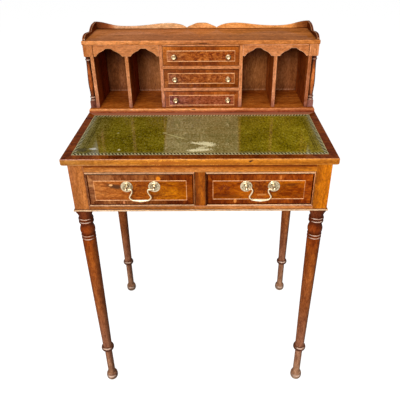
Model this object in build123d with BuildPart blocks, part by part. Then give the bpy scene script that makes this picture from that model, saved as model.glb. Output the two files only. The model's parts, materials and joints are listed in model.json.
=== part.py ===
from build123d import *
from math import sqrt
import os

# A lady's writing desk: four turned legs, two long drawers, a leather-lined top, and an upper
# part with four pigeonholes, three small drawers, turned columns and a scrolled gallery.
# Millimetres. X runs to the sitter's right, Y away from the sitter, Z up. The origin is on the
# floor, midway between the sides, and midway between the drawer pulls' foremost point and the
# back edge of the desktop. "Left" is the sitter's left.

# The whole desk
desk_width = 620.0
desk_depth = 457.0
desk_height = 760.0

# Desktop: a board in a mitred lipping, with a leather let in flush
top_thick = 18.0
lipping_width = 9.0
top_arris = 1.5
top_nose = 7.0
leather_side_border = 20.0
leather_front_border = 22.0
leather_depth = 250.0
leather_thick = 1.0

# Carcass under the top
side_setback = 10.0
front_setback = 14.0
back_setback = 6.5
apron_height = 126.0
apron_thick = 18.0
post_size = 35.0
top_rail_height = 22.0
bottom_rail_height = 14.0
stile_width = 24.0
tenon_length = 12.0
tenon_thick = 8.0
tenon_shoulder = 10.0
rail_shoulder = 3.0
rail_tenon_inset = 8.0
stub_tenon = 6.0
base_bead_height = 5.0
base_bead_proud = 3.0
base_bead_round = 2.3

# Runners under the long drawers, their guides, and the kickers over them
runner_ledge = 12.0
guide_height = 16.0

# Turned legs: heights are measured up from the floor, depths down from the leg's top
foot_dia = 33.0
foot_pad_dia = 19.0
foot_height = 29.0
foot_neck_rise = 4.0
ankle_dia = 20.8
anklet_centre = 133.0
anklet_height = 15.0
anklet_dia = 36.0
shaft_low_dia = 25.4
shaft_top_dia = 34.6
collar_dia = 42.0
collar_height = 9.0
collar_step = 1.5
neck_dia = 33.0
neck_depth = 20.0
bead_dia = 36.6
bead_height = 7.5
bead_groove = 1.2
bead_groove_dia = 33.0
upper_beads_depth = 25.0
bulb_root_dia = 30.0
bulb_dia = 37.0
bulb_depth = 60.0
lower_beads_depth = 72.0
lower_bead_dia = 35.6
foot_widest_share = 0.42

# Hanger bolts that hold the legs to the posts
leg_bolt_dia = 8.0
leg_bolt_bite = 35.0
bolt_clearance = 0.1

# Long drawers
drawer_gap = 1.0
seat_gap = 0.3
front_thick = 18.0
cock_width = 3.0
cock_proud = 2.0
cock_seat = 6.0
cock_round = 1.2
drawer_side = 10.0
drawer_back = 10.0
drawer_bottom = 5.0
bottom_raise = 7.0
bottom_groove = 4.0
back_housing = 3.0
back_drop = 8.0
drawer_back_gap = 12.0
tail_length = 10.0
tail_count = 4

# Swan-neck pulls of the long drawers
pull_span = 64.0
pull_rise = 8.0
rosette_dia = 28.0
rosette_rim = 1.4
rosette_ring = 3.0
rosette_ring_width = 5.0
rosette_dish = 1.6
rosette_boss = 5.0
rosette_boss_dia = 12.0
rosette_dome_share = (0.72, 0.62)
post_reach = 14.0
post_shank_dia = 5.0
post_head_dia = 8.0
post_collar_dia = 7.4
post_collar_height = 1.5
stud_dia = 4.0
stud_clearance = 0.1
nut_across = 7.0
nut_height = 3.2
stud_end = 1.5
pivot_dia = 3.0
pivot_clearance = 0.06
pivot_end = 2.8
knuckle_dia = 5.6
knuckle_gap = 0.4
bail_rod_dia = 3.8
bail_drop = 29.5
bail_swell_dia = 6.8
bail_swell_half = 16.0
bail_neck_half = 18.0
bail_waist_half = 18.6
bail_belly_half = 26.0
bail_foot_half = 18.8
bail_neck_round = 3.4
bail_waist_round = 8.0
bail_belly_round = 5.0
bail_foot_round = 8.0
bail_waist_share = 0.27
bail_belly_share = 0.72
swell_end_share = 0.6

# Upper part
upper_setback = 297.5
upper_back_gap = 2.0
base_board_thick = 12.0
base_board_front = 9.5
base_board_side = 3.5
base_board_round = 4.5
base_board_arris = 1.0
shelf_thick = 11.5
shelf_front = 2.5
shelf_side = 1.5
shelf_round = 3.0
partition_thick = 9.0
side_backing = 14.0
upper_inner_width = 557.0
panel_thick = 6.0
panel_rebate = 4.5
panel_inset = 4.0
column_size = 16.0
frieze_height = 29.0
valance_thick = 7.0

# Small drawers and the rails between them
nest_width = 199.0
nest_rail = 9.0
nest_top_rail = 4.0
nest_top_rail_depth = 20.0
nest_rail_round = 2.0
rail_housing = 3.0
low_opening = 45.5
upper_opening = 49.5
small_gap = 0.8
small_front = 12.0
small_side = 6.0
small_back = 6.0
small_bottom = 3.0
small_bottom_raise = 4.0
small_bottom_groove = 2.5
small_housing = 2.0
small_back_drop = 5.0
small_back_gap = 8.0
small_tail_length = 8.0
small_tail_count = 2
tail_root_share = 0.3
tail_slope_share = 0.17

# Brass knobs of the small drawers
knob_spread = 140.0
knob_dia = 14.0
knob_reach = 14.0
knob_flange_dia = 10.5
knob_flange = 1.5
knob_stem_dia = 6.0
knob_head = 8.0
knob_flat_dia = 6.0
knob_stud_dia = 3.6
knob_stud = 8.0

# Arches of the valances
pendant_width = 22.5
valance_foot = 6.0
arch_rise = 20.0
arch_crown_share = 0.2
arch_turn_share = (0.61, 0.58)
arch_hollow_share = (0.39, 0.76)
arch_swell_share = (0.82, 0.36)

# Turned columns: heights up from the base board, depths down from the frieze block
column_block = 19.0
column_spigot_dia = 8.0
column_spigot = 7.0
column_base_ring_dia = 15.6
column_base_ring = 5.0
column_base_groove = 2.5
column_base_groove_dia = 12.0
column_low_dia = 12.6
column_belly_dia = 15.2
column_belly_rise = 66.0
column_top_dia = 11.6
column_ring_dia = 14.4
column_ring = 5.0
column_ring_depth = 6.0
column_neck_dia = 11.4
column_cap_dia = 12.8
column_cap = 2.0

# Gallery round the top shelf: the outlines run from the middle or the front to the corner
gallery_thick = 7.0
gallery_height = 19.5
gallery_inset = 2.5
gallery_front_inset = 4.0
gallery_notch_share = (0.138, 0.12)
gallery_crest_shares = ((0.0, 0.78), (0.05, 0.73), (0.095, 0.46))
gallery_back_shares = (
    (0.17, 0.42),
    (0.225, 0.66),
    (0.335, 0.76),
    (0.53, 0.47),
    (0.68, 0.37),
    (0.82, 0.53),
    (0.95, 0.97),
    (1.0, 0.98),
)
gallery_side_front_shares = ((0.0, 0.15), (0.06, 0.48), (0.18, 0.62), (0.38, 0.5), (0.55, 0.36))
gallery_side_back_shares = ((0.55, 0.36), (0.64, 0.68), (0.76, 0.93), (0.9, 1.0), (1.0, 0.98))

# Countersunk screws
screw_dia = 3.8
screw_head_dia = 8.0
screw_head = 3.0
screw_clearance = 0.1
top_screw_bite = 11.0
upper_screw_bite = 8.0
top_screw_spread = 200.0
upper_screw_spread = 200.0
screw_margin = 30.0

# Places worked out from the sizes above
pulls_stand_out = max(post_reach + post_head_dia / 2 - front_setback, 0)
top_front = -(desk_depth - pulls_stand_out) / 2
top_back = top_front + desk_depth
top_under = desk_height - top_thick
leg_length = top_under - apron_height
side_face = desk_width / 2 - side_setback
side_inner = side_face - apron_thick
front_face = top_front + front_setback
back_face = top_back - back_setback
rail_back = front_face + post_size
back_inner = back_face - apron_thick
back_post_front = back_face - post_size
post_inner = side_face - post_size
leg_x = side_face - post_size / 2
leg_front_y = front_face + post_size / 2
leg_back_y = back_face - post_size / 2
opening_low = leg_length + bottom_rail_height
opening_high = top_under - top_rail_height
opening_centre = (post_inner + stile_width / 2) / 2
pull_z = (opening_low + opening_high) / 2 + pull_rise
pivot_y = front_face - post_reach

upper_front = top_front + upper_setback
board_back = top_back - upper_back_gap
upper_back = board_back - panel_inset
panel_front = upper_back - panel_thick
floor_z = desk_height + base_board_thick
inner_x = upper_inner_width / 2
outer_x = inner_x + partition_thick
corner_x = outer_x + column_size
nest_x = nest_width / 2
nest_outer = nest_x + partition_thick
rail_one = floor_z + low_opening
rail_two = rail_one + nest_rail + upper_opening
top_rail_z = rail_two + nest_rail + upper_opening
shelf_under = top_rail_z + nest_top_rail
shelf_top = shelf_under + shelf_thick
frieze_low = shelf_under - frieze_height
divider_x = (nest_outer + inner_x) / 2
column_x = outer_x + column_size / 2
column_y = upper_front + column_size / 2
frieze_block = partition_thick + column_size
shelf_edge = corner_x + shelf_side
shelf_nose = upper_front - shelf_front

floor_anchor = (Align.MIN, Align.MIN, Align.MIN)
upright = (Align.CENTER, Align.CENTER, Align.MIN)


def block(low, high, mode=Mode.ADD):
    """Adds or cuts the block between two corners, in the piece being built."""
    with Locations(low):
        Box(high[0] - low[0], high[1] - low[1], high[2] - low[2], align=floor_anchor, mode=mode)


def facing_front(x, y, z):
    """A sketch plane through a point, drawn as seen from the front: x to the right, y up."""
    return Plane(origin=(x, y, z), x_dir=(1, 0, 0), z_dir=(0, -1, 0))


def facing_up(x, y, z):
    """A level sketch plane through a point, seen from above: x to the right, y to the back."""
    return Plane(origin=(x, y, z), x_dir=(1, 0, 0), z_dir=(0, 0, 1))


def facing_side(x):
    """A sketch plane across the desk at this X: x runs to the back, y up."""
    return Plane(origin=(x, 0, 0), x_dir=(0, 1, 0), z_dir=(1, 0, 0))


def grouped(name, *builders):
    """Holds pieces that touch each other in one node, as separate solids."""
    return Compound(label=name, children=[builder.part for builder in builders])


def plan_strip(points, low, high):
    """Adds a flat strip whose plan has these corners."""
    with BuildSketch(Plane.XY.offset(low)) as plan:
        Polygon(*points, align=None)
    extrude(plan.sketch, amount=high - low)


def round_outer(piece, along, outwards, end, low_radius, high_radius):
    """Rounds a strip's lower and upper outer edges."""
    for place, radius in ((0, low_radius), (-1, high_radius)):
        outer = piece.edges().filter_by(along).group_by(outwards)[end]
        fillet(outer.sort_by(Axis.Z)[place], radius=radius)


# Desktop: the leather, the board that holds it, and the lipping
leather_x = desk_width / 2 - leather_side_border
leather_front = top_front + leather_front_border
leather_low = (-leather_x, leather_front, desk_height - leather_thick)
leather_high = (leather_x, leather_front + leather_depth, desk_height)
board_x = desk_width / 2 - lipping_width
kicker_x = (side_inner + post_inner - runner_ledge) / 2
top_screws = [
    (side * x, y, opening_high)
    for side in (-1, 1)
    for x, y in (
        (top_screw_spread, front_face + post_size / 2),
        (kicker_x, back_post_front - screw_margin),
    )
]
upper_screws = [
    (side * upper_screw_spread, y, top_under)
    for side in (-1, 1)
    for y in (upper_front + screw_margin, panel_front - screw_margin)
]


def screw(bite, grip, clearance, mode=Mode.ADD):
    """A countersunk screw that points up from here, or with clearance the hole for it."""
    Cylinder(screw_dia / 2 + clearance, grip + bite, align=upright, mode=mode)
    Cone(
        screw_head_dia / 2 + clearance,
        screw_dia / 2 + clearance,
        screw_head,
        align=upright,
        mode=mode,
    )


with BuildPart() as desk_leather:
    block(leather_low, leather_high)

with BuildPart() as top_board:
    block((-board_x, top_front + lipping_width, top_under), (board_x, top_back - lipping_width, desk_height))
    block(leather_low, leather_high, mode=Mode.SUBTRACT)
    with Locations(*top_screws):
        screw(top_screw_bite, top_rail_height, screw_clearance, mode=Mode.SUBTRACT)
    with Locations(*upper_screws):
        screw(upper_screw_bite, top_thick, screw_clearance, mode=Mode.SUBTRACT)

half_top = desk_width / 2
lipping_strips = []
for sign, out_y in ((-1, top_front), (1, top_back)):
    with BuildPart() as strip:
        plan_strip(
            (
                (-half_top, out_y),
                (half_top, out_y),
                (half_top - lipping_width, out_y - sign * lipping_width),
                (-half_top + lipping_width, out_y - sign * lipping_width),
            ),
            top_under,
            desk_height,
        )
        round_outer(strip, Axis.X, Axis.Y, 0 if sign < 0 else -1, top_nose, top_arris)
    lipping_strips.append(strip)
for sign in (-1, 1):
    with BuildPart() as strip:
        plan_strip(
            (
                (sign * half_top, top_front),
                (sign * half_top, top_back),
                (sign * board_x, top_back - lipping_width),
                (sign * board_x, top_front + lipping_width),
            ),
            top_under,
            desk_height,
        )
        round_outer(strip, Axis.Y, Axis.X, 0 if sign < 0 else -1, top_nose, top_arris)
    lipping_strips.append(strip)
top_lipping = grouped("top_lipping", *lipping_strips)


# Turned legs with their hanger bolts
def ring(radius, low, high, at_low, at_high):
    """Draws a turned bead between two heights of a profile, from one radius to another."""
    ThreePointArc((at_low, low), (radius, (low + high) / 2), (at_high, high))


def make_leg(x, y):
    """One leg, turned about its own upright axis."""
    anklet_low = anklet_centre - anklet_height / 2
    anklet_high = anklet_centre + anklet_height / 2
    low_bead_two = leg_length - lower_beads_depth - bead_height
    low_bead_one = low_bead_two - bead_groove - bead_height
    high_bead_one = leg_length - upper_beads_depth - bead_height
    high_bead_two = high_bead_one - bead_groove - bead_height
    bulb_widest = leg_length - bulb_depth
    groove = bead_groove_dia / 2
    collar_low = leg_length - collar_height
    with BuildPart() as leg:
        with BuildSketch(facing_front(x, y, 0)):
            with BuildLine():
                Line((0, 0), (foot_pad_dia / 2, 0))
                ThreePointArc(
                    (foot_pad_dia / 2, 0),
                    (foot_dia / 2, foot_height * foot_widest_share),
                    (ankle_dia / 2 + foot_neck_rise / 2, foot_height - foot_neck_rise),
                )
                Line(
                    (ankle_dia / 2 + foot_neck_rise / 2, foot_height - foot_neck_rise),
                    (ankle_dia / 2, foot_height),
                )
                Line((ankle_dia / 2, foot_height), (ankle_dia / 2, anklet_low))
                ring(anklet_dia / 2, anklet_low, anklet_high, ankle_dia / 2, shaft_low_dia / 2)
                Line((shaft_low_dia / 2, anklet_high), (shaft_top_dia / 2, low_bead_one - bead_groove))
                Line((shaft_top_dia / 2, low_bead_one - bead_groove), (groove, low_bead_one))
                ring(lower_bead_dia / 2, low_bead_one, low_bead_one + bead_height, groove, groove)
                Line((groove, low_bead_one + bead_height), (groove, low_bead_two))
                ring(lower_bead_dia / 2, low_bead_two, low_bead_two + bead_height, groove, groove)
                ThreePointArc(
                    (groove, low_bead_two + bead_height),
                    (bulb_dia / 2, bulb_widest),
                    (bulb_root_dia / 2, high_bead_two - bead_groove),
                )
                Line((bulb_root_dia / 2, high_bead_two - bead_groove), (groove, high_bead_two))
                ring(bead_dia / 2, high_bead_two, high_bead_two + bead_height, groove, groove)
                Line((groove, high_bead_two + bead_height), (groove, high_bead_one))
                ring(bead_dia / 2, high_bead_one, high_bead_one + bead_height, groove, groove)
                ThreePointArc(
                    (groove, high_bead_one + bead_height),
                    (neck_dia / 2, leg_length - neck_depth),
                    (collar_dia / 2 - collar_step, collar_low),
                )
                Line((collar_dia / 2 - collar_step, collar_low), (collar_dia / 2, collar_low))
                Line((collar_dia / 2, collar_low), (collar_dia / 2, leg_length))
                Line((collar_dia / 2, leg_length), (0, leg_length))
                Line((0, leg_length), (0, 0))
            make_face()
        revolve(axis=Axis((x, y, 0), (0, 0, 1)))
        with Locations((x, y, leg_length - leg_bolt_bite)):
            Cylinder(
                leg_bolt_dia / 2 + bolt_clearance, leg_bolt_bite, align=upright, mode=Mode.SUBTRACT
            )
    return leg


leg_front_left = make_leg(-leg_x, leg_front_y)
leg_front_right = make_leg(leg_x, leg_front_y)
leg_back_left = make_leg(-leg_x, leg_back_y)
leg_back_right = make_leg(leg_x, leg_back_y)
leg_places = [(side * leg_x, y) for side in (-1, 1) for y in (leg_front_y, leg_back_y)]

with BuildPart() as leg_bolts:
    with Locations(*[(x, y, leg_length - leg_bolt_bite) for x, y in leg_places]):
        Cylinder(leg_bolt_dia / 2, leg_bolt_bite * 2, align=upright)


# Carcass: posts, aprons and rails, with the tenons that join them
def side_tenon(shoulder, sense):
    """Corners of the left side apron's tenon, from its shoulder into a post."""
    middle = -side_face + apron_thick / 2
    ends = sorted((shoulder, shoulder + sense * tenon_length))
    low = (middle - tenon_thick / 2, ends[0], leg_length + tenon_shoulder)
    high = (middle + tenon_thick / 2, ends[1], top_under - tenon_shoulder)
    return low, high


def back_tenon():
    """Corners of the back apron's tenon in the left back post."""
    middle = back_face - apron_thick / 2
    low = (-post_inner - tenon_length, middle - tenon_thick / 2, leg_length + tenon_shoulder)
    high = (-post_inner, middle + tenon_thick / 2, top_under - tenon_shoulder)
    return low, high


def rail_tenon(low_z, high_z):
    """Corners of a front rail's tenon in the left front post."""
    low = (-post_inner - tenon_length, front_face + rail_tenon_inset, low_z + rail_shoulder)
    high = (-post_inner, rail_back - rail_tenon_inset, high_z - rail_shoulder)
    return low, high


rail_tenons = [rail_tenon(opening_high, top_under), rail_tenon(leg_length, opening_low)]
front_side_tenon = side_tenon(rail_back, -1)
back_side_tenon = side_tenon(back_post_front, 1)

with BuildPart() as corner_posts:
    block((-side_face, front_face, leg_length), (-post_inner, rail_back, top_under))
    block((-side_face, back_post_front, leg_length), (-post_inner, back_face, top_under))
    for corners in (*rail_tenons, front_side_tenon, back_side_tenon, back_tenon()):
        block(*corners, mode=Mode.SUBTRACT)
    with Locations((-leg_x, leg_front_y, leg_length), (-leg_x, leg_back_y, leg_length)):
        Cylinder(leg_bolt_dia / 2 + bolt_clearance, leg_bolt_bite, align=upright, mode=Mode.SUBTRACT)
    mirror(about=Plane.YZ)

with BuildPart() as side_aprons:
    block((-side_face, rail_back, leg_length), (-side_inner, back_post_front, top_under))
    block(*front_side_tenon)
    block(*back_side_tenon)
    mirror(about=Plane.YZ)

with BuildPart() as back_apron:
    block((-post_inner, back_inner, leg_length), (0, back_face, top_under))
    block(*back_tenon())
    mirror(about=Plane.YZ)

stile_sockets = [
    ((-stile_width / 2, front_face + rail_tenon_inset, opening_low - stub_tenon), opening_low),
    ((-stile_width / 2, front_face + rail_tenon_inset, opening_high), opening_high + stub_tenon),
]


def stile_tenon(place, mode=Mode.ADD):
    """Adds or cuts a stub tenon of the centre stile."""
    low, high_z = stile_sockets[place]
    block(low, (stile_width / 2, rail_back - rail_tenon_inset, high_z), mode=mode)


with BuildPart() as front_top_rail:
    block((-post_inner, front_face, opening_high), (0, rail_back, top_under))
    block(*rail_tenons[0])
    mirror(about=Plane.YZ)
    stile_tenon(1, mode=Mode.SUBTRACT)
    with Locations(*top_screws):
        screw(top_screw_bite, top_rail_height, screw_clearance, mode=Mode.SUBTRACT)

with BuildPart() as front_bottom_rail:
    block((-post_inner, front_face, leg_length), (0, rail_back, opening_low))
    block(*rail_tenons[1])
    mirror(about=Plane.YZ)
    stile_tenon(0, mode=Mode.SUBTRACT)

with BuildPart() as centre_stile:
    block((-stile_width / 2, front_face, opening_low), (stile_width / 2, rail_back, opening_high))
    stile_tenon(0)
    stile_tenon(1)

ledge_x = stile_width / 2 + runner_ledge
side_ledge_x = post_inner - runner_ledge
with BuildPart() as drawer_runners:
    block((-side_inner, rail_back, leg_length), (-side_ledge_x, back_post_front, opening_low))
    block((-side_inner, rail_back, opening_low), (-post_inner, back_post_front, opening_low + guide_height))
    block((-side_inner, rail_back, opening_high), (-side_ledge_x, back_post_front, top_under))
    mirror(about=Plane.YZ)
    block((-ledge_x, rail_back, leg_length), (ledge_x, back_inner, opening_low))
    block(
        (-stile_width / 2, rail_back, opening_low),
        (stile_width / 2, back_inner, opening_low + guide_height),
    )
    block((-ledge_x, rail_back, opening_high), (ledge_x, back_inner, top_under))
    with Locations(*top_screws):
        screw(top_screw_bite, top_rail_height, screw_clearance, mode=Mode.SUBTRACT)

bead_x = side_face + base_bead_proud
bead_y = front_face - base_bead_proud
with BuildPart() as bead_front:
    plan_strip(
        ((-bead_x, bead_y), (bead_x, bead_y), (side_face, front_face), (-side_face, front_face)),
        leg_length,
        leg_length + base_bead_height,
    )
    round_outer(bead_front, Axis.X, Axis.Y, 0, base_bead_round, base_bead_round)
with BuildPart() as bead_left:
    plan_strip(
        ((-bead_x, bead_y), (-side_face, front_face), (-side_face, back_face), (-bead_x, back_face)),
        leg_length,
        leg_length + base_bead_height,
    )
    round_outer(bead_left, Axis.Y, Axis.X, 0, base_bead_round, base_bead_round)
with BuildPart() as bead_right:
    mirror(bead_left.part, about=Plane.YZ)
base_bead = grouped("base_bead", bead_front, bead_left, bead_right)


# Drawers: a dovetailed box with a bottom let into grooves
def draw_tails(shoulder, reach, low, high, count):
    """Draws the dovetails that run forward from a drawer side's shoulder."""
    pitch = (high - low) / count
    root = pitch * tail_root_share
    flare = root + reach * tail_slope_share
    for place in range(count):
        middle = low + pitch * place + pitch / 2
        Polygon(
            (shoulder, middle - root),
            (shoulder - reach, middle - flare),
            (shoulder - reach, middle + flare),
            (shoulder, middle + root),
            align=None,
        )


def make_box(left, right, low, high, face, box_back, make):
    """The boards of a drawer whose front fills this space: front, sides, back and bottom."""
    shoulder = face + make["front"]
    side_low = low - make["gap"] + seat_gap
    inner_left = left + make["side"]
    inner_right = right - make["side"]
    bottom_low = side_low + make["raise"]
    bottom_high = bottom_low + make["bottom"]
    back_front = box_back - make["back"]
    back_high = high - make["drop"]
    outer_faces = (left, inner_right)
    with BuildPart() as front:
        block((left, face, low), (right, shoulder, high))
        for outer in outer_faces:
            with BuildSketch(facing_side(outer)):
                draw_tails(shoulder, make["tail"], low, high, make["tails"])
            extrude(amount=make["side"], mode=Mode.SUBTRACT)
        block(
            (inner_left, shoulder - make["groove"], bottom_low),
            (inner_right, shoulder, bottom_high),
            mode=Mode.SUBTRACT,
        )
    with BuildPart() as sides:
        for outer in outer_faces:
            block((outer, shoulder, side_low), (outer + make["side"], box_back, high))
            with BuildSketch(facing_side(outer)):
                draw_tails(shoulder, make["tail"], low, high, make["tails"])
            extrude(amount=make["side"])
        block(
            (inner_left - make["groove"], shoulder, bottom_low),
            (inner_right + make["groove"], box_back, bottom_high),
            mode=Mode.SUBTRACT,
        )
        block(
            (inner_left - make["housing"], back_front, bottom_high),
            (inner_right + make["housing"], box_back, back_high),
            mode=Mode.SUBTRACT,
        )
    with BuildPart() as back:
        block(
            (inner_left - make["housing"], back_front, bottom_high),
            (inner_right + make["housing"], box_back, back_high),
        )
    with BuildPart() as bottom:
        block(
            (inner_left - make["groove"], shoulder, bottom_low),
            (inner_right + make["groove"], box_back, bottom_high),
        )
        block((inner_left, shoulder - make["groove"], bottom_low), (inner_right, shoulder, bottom_high))
    return {"front": front, "sides": sides, "back": back, "bottom": bottom}


long_make = {
    "gap": drawer_gap,
    "front": front_thick,
    "side": drawer_side,
    "back": drawer_back,
    "bottom": drawer_bottom,
    "raise": bottom_raise,
    "groove": bottom_groove,
    "housing": back_housing,
    "drop": back_drop,
    "tail": tail_length,
    "tails": tail_count,
}
small_make = {
    "gap": small_gap,
    "front": small_front,
    "side": small_side,
    "back": small_back,
    "bottom": small_bottom,
    "raise": small_bottom_raise,
    "groove": small_bottom_groove,
    "housing": small_housing,
    "drop": small_back_drop,
    "tail": small_tail_length,
    "tails": small_tail_count,
}


def make_cock_bead(left, right, low, high):
    """The four mitred strips of a rounded bead that frames a long drawer's front."""
    outer = [(left, low), (right, low), (right, high), (left, high)]
    inner_left = left + cock_width
    inner_right = right - cock_width
    inner_low = low + cock_width
    inner_high = high - cock_width
    inner = [
        (inner_left, inner_low),
        (inner_right, inner_low),
        (inner_right, inner_high),
        (inner_left, inner_high),
    ]
    strips = []
    for place, along in enumerate((Axis.X, Axis.Z, Axis.X, Axis.Z)):
        after = (place + 1) % len(outer)
        with BuildPart() as strip:
            with BuildSketch(facing_front(0, front_face + cock_seat, 0)):
                Polygon(outer[place], outer[after], inner[after], inner[place], align=None)
            extrude(amount=cock_seat + cock_proud)
            fillet(strip.edges().filter_by(along).group_by(Axis.Y)[0], radius=cock_round)
        strips.append(strip)
    return strips


def make_pull(centre):
    """A swan-neck pull: its rosettes, its two posts with nuts, and the bail that swings."""
    places = [centre - pull_span / 2, centre + pull_span / 2]
    hole = post_shank_dia / 2 + stud_clearance
    rim = rosette_dia / 2
    ring_inner = rim - rosette_ring_width
    boss = rosette_boss_dia / 2
    dome_x = hole + (boss - hole) * rosette_dome_share[0]
    dome_y = rosette_dish + (rosette_boss - rosette_dish) * rosette_dome_share[1]
    with BuildPart() as rosettes:
        for x in places:
            with BuildSketch(facing_up(x, front_face, pull_z)):
                with BuildLine():
                    Polyline((hole, 0), (rim, 0), (rim, -rosette_rim))
                    ThreePointArc(
                        (rim, -rosette_rim),
                        ((rim + ring_inner) / 2, -rosette_ring),
                        (ring_inner, -rosette_dish),
                    )
                    Line((ring_inner, -rosette_dish), (boss, -rosette_dish))
                    ThreePointArc((boss, -rosette_dish), (dome_x, -dome_y), (hole, -rosette_boss))
                    Line((hole, -rosette_boss), (hole, 0))
                make_face()
            revolve(axis=Axis((x, front_face, pull_z), (0, 1, 0)))
    stud_low = front_thick + nut_height + stud_end
    head_low = post_reach - sqrt(post_head_dia**2 - post_shank_dia**2) / 2
    with BuildPart() as posts:
        for x in places:
            with BuildSketch(facing_up(x, front_face, pull_z)):
                with BuildLine():
                    Polyline(
                        (0, -post_reach - post_head_dia / 2),
                        (0, stud_low),
                        (stud_dia / 2, stud_low),
                        (stud_dia / 2, 0),
                        (post_shank_dia / 2, 0),
                        (post_shank_dia / 2, -rosette_boss),
                        (post_collar_dia / 2, -rosette_boss),
                        (post_collar_dia / 2, -rosette_boss - post_collar_height),
                        (post_shank_dia / 2, -rosette_boss - post_collar_height),
                        (post_shank_dia / 2, -head_low),
                    )
                    ThreePointArc(
                        (post_shank_dia / 2, -head_low),
                        (post_head_dia / 2, -post_reach),
                        (0, -post_reach - post_head_dia / 2),
                    )
                make_face()
            revolve(axis=Axis((x, front_face, pull_z), (0, 1, 0)))
            with BuildSketch(facing_side(x - post_head_dia)):
                with Locations((pivot_y, pull_z)):
                    Circle(pivot_dia / 2 + pivot_clearance)
            extrude(amount=post_head_dia * 2, mode=Mode.SUBTRACT)
        for x in places:
            with BuildSketch(facing_front(x, front_face + front_thick + nut_height, pull_z)):
                RegularPolygon(nut_across / 2, 6, major_radius=False)
                Circle(stud_dia / 2 + stud_clearance, mode=Mode.SUBTRACT)
            extrude(amount=nut_height)
    half = pull_span / 2
    knuckle_half = half - post_head_dia / 2 - knuckle_gap - knuckle_dia / 2
    bends = (
        (bail_neck_half, 0, bail_neck_round),
        (bail_waist_half, -bail_drop * bail_waist_share, bail_waist_round),
        (bail_belly_half, -bail_drop * bail_belly_share, bail_belly_round),
        (bail_foot_half, -bail_drop, bail_foot_round),
    )
    right_side = [(x, z) for x, z, _ in bends]
    left_side = [(-x, z) for x, z in reversed(right_side)]
    radii = [radius for _, _, radius in bends]
    plane = facing_front(centre, pivot_y, pull_z)
    with BuildPart() as bail:
        with BuildLine(plane) as route:
            FilletPolyline(
                (knuckle_half, 0),
                *right_side,
                *left_side,
                (-knuckle_half, 0),
                radius=radii + radii[::-1],
            )
        with BuildSketch(Plane(origin=route.line @ 0, z_dir=route.line % 0)):
            Circle(bail_rod_dia / 2)
        sweep()
        swell_end = bail_rod_dia / 2 * swell_end_share
        with BuildSketch(facing_front(centre, pivot_y, pull_z - bail_drop)):
            with BuildLine():
                ThreePointArc(
                    (-bail_swell_half, swell_end), (0, bail_swell_dia / 2), (bail_swell_half, swell_end)
                )
                Polyline(
                    (bail_swell_half, swell_end),
                    (bail_swell_half, 0),
                    (-bail_swell_half, 0),
                    (-bail_swell_half, swell_end),
                )
            make_face()
        revolve(axis=Axis((centre, pivot_y, pull_z - bail_drop), (1, 0, 0)))
        for side in (-1, 1):
            with BuildSketch(plane):
                with BuildLine():
                    ThreePointArc(
                        (side * (knuckle_half - knuckle_dia / 2), 0),
                        (side * knuckle_half, knuckle_dia / 2),
                        (side * (knuckle_half + sqrt(knuckle_dia**2 - pivot_dia**2) / 2), pivot_dia / 2),
                    )
                    Polyline(
                        (side * (knuckle_half + sqrt(knuckle_dia**2 - pivot_dia**2) / 2), pivot_dia / 2),
                        (side * (half + pivot_end), pivot_dia / 2),
                        (side * (half + pivot_end), 0),
                        (side * (knuckle_half - knuckle_dia / 2), 0),
                    )
                make_face()
            revolve(axis=Axis((centre, pivot_y, pull_z), (1, 0, 0)))
    return rosettes, posts, bail


pieces = {}
for side, name in ((-1, "left"), (1, "right")):
    centre = side * opening_centre
    half_front = (post_inner - stile_width / 2) / 2 - drawer_gap
    left = centre - half_front
    right = centre + half_front
    low = opening_low + drawer_gap
    high = opening_high - drawer_gap
    box = make_box(left, right, low, high, front_face, back_inner - drawer_back_gap, long_make)
    with BuildPart() as front:
        add(box["front"].part)
        with BuildSketch(facing_front(centre, front_face + cock_seat, (low + high) / 2)):
            Rectangle(right - left, high - low)
            Rectangle(right - left - cock_width * 2, high - low - cock_width * 2, mode=Mode.SUBTRACT)
        extrude(amount=cock_seat, mode=Mode.SUBTRACT)
        with BuildSketch(facing_front(centre, front_face + front_thick, pull_z)):
            with Locations((-pull_span / 2, 0), (pull_span / 2, 0)):
                Circle(stud_dia / 2 + stud_clearance)
        extrude(amount=front_thick, mode=Mode.SUBTRACT)
    rosettes, posts, bail = make_pull(centre)
    pieces[name + "_drawer_front"] = front
    pieces[name + "_drawer_sides"] = box["sides"]
    pieces[name + "_drawer_back"] = box["back"]
    pieces[name + "_drawer_bottom"] = box["bottom"]
    pieces[name + "_drawer_rosettes"] = rosettes
    pieces[name + "_drawer_pull_posts"] = posts
    pieces[name + "_drawer_bail"] = bail
    pieces[name + "_drawer_cock_bead"] = make_cock_bead(left, right, low, high)

# Upper part: base board, sides, back, partitions and the rails between the small drawers
spigots = [(side * column_x, column_y) for side in (-1, 1)]
base_x = corner_x + base_board_side
with BuildPart() as upper_base_board:
    block((-base_x, upper_front - base_board_front, desk_height), (base_x, board_back, floor_z))
    upper_edges = upper_base_board.edges().group_by(Axis.Z)[-1]
    fillet(
        upper_edges.filter_by(Axis.X).sort_by(Axis.Y)[:1] + upper_edges.filter_by(Axis.Y),
        radius=base_board_round,
    )
    lower_edges = upper_base_board.edges().group_by(Axis.Z)[0]
    fillet(
        lower_edges.filter_by(Axis.X).sort_by(Axis.Y)[:1] + lower_edges.filter_by(Axis.Y),
        radius=base_board_arris,
    )
    with Locations(*upper_screws):
        screw(upper_screw_bite, top_thick, screw_clearance, mode=Mode.SUBTRACT)
    with Locations(*[(x, y, floor_z - column_spigot) for x, y in spigots]):
        Cylinder(
            column_spigot_dia / 2 + bolt_clearance, column_spigot, align=upright, mode=Mode.SUBTRACT
        )

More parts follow.
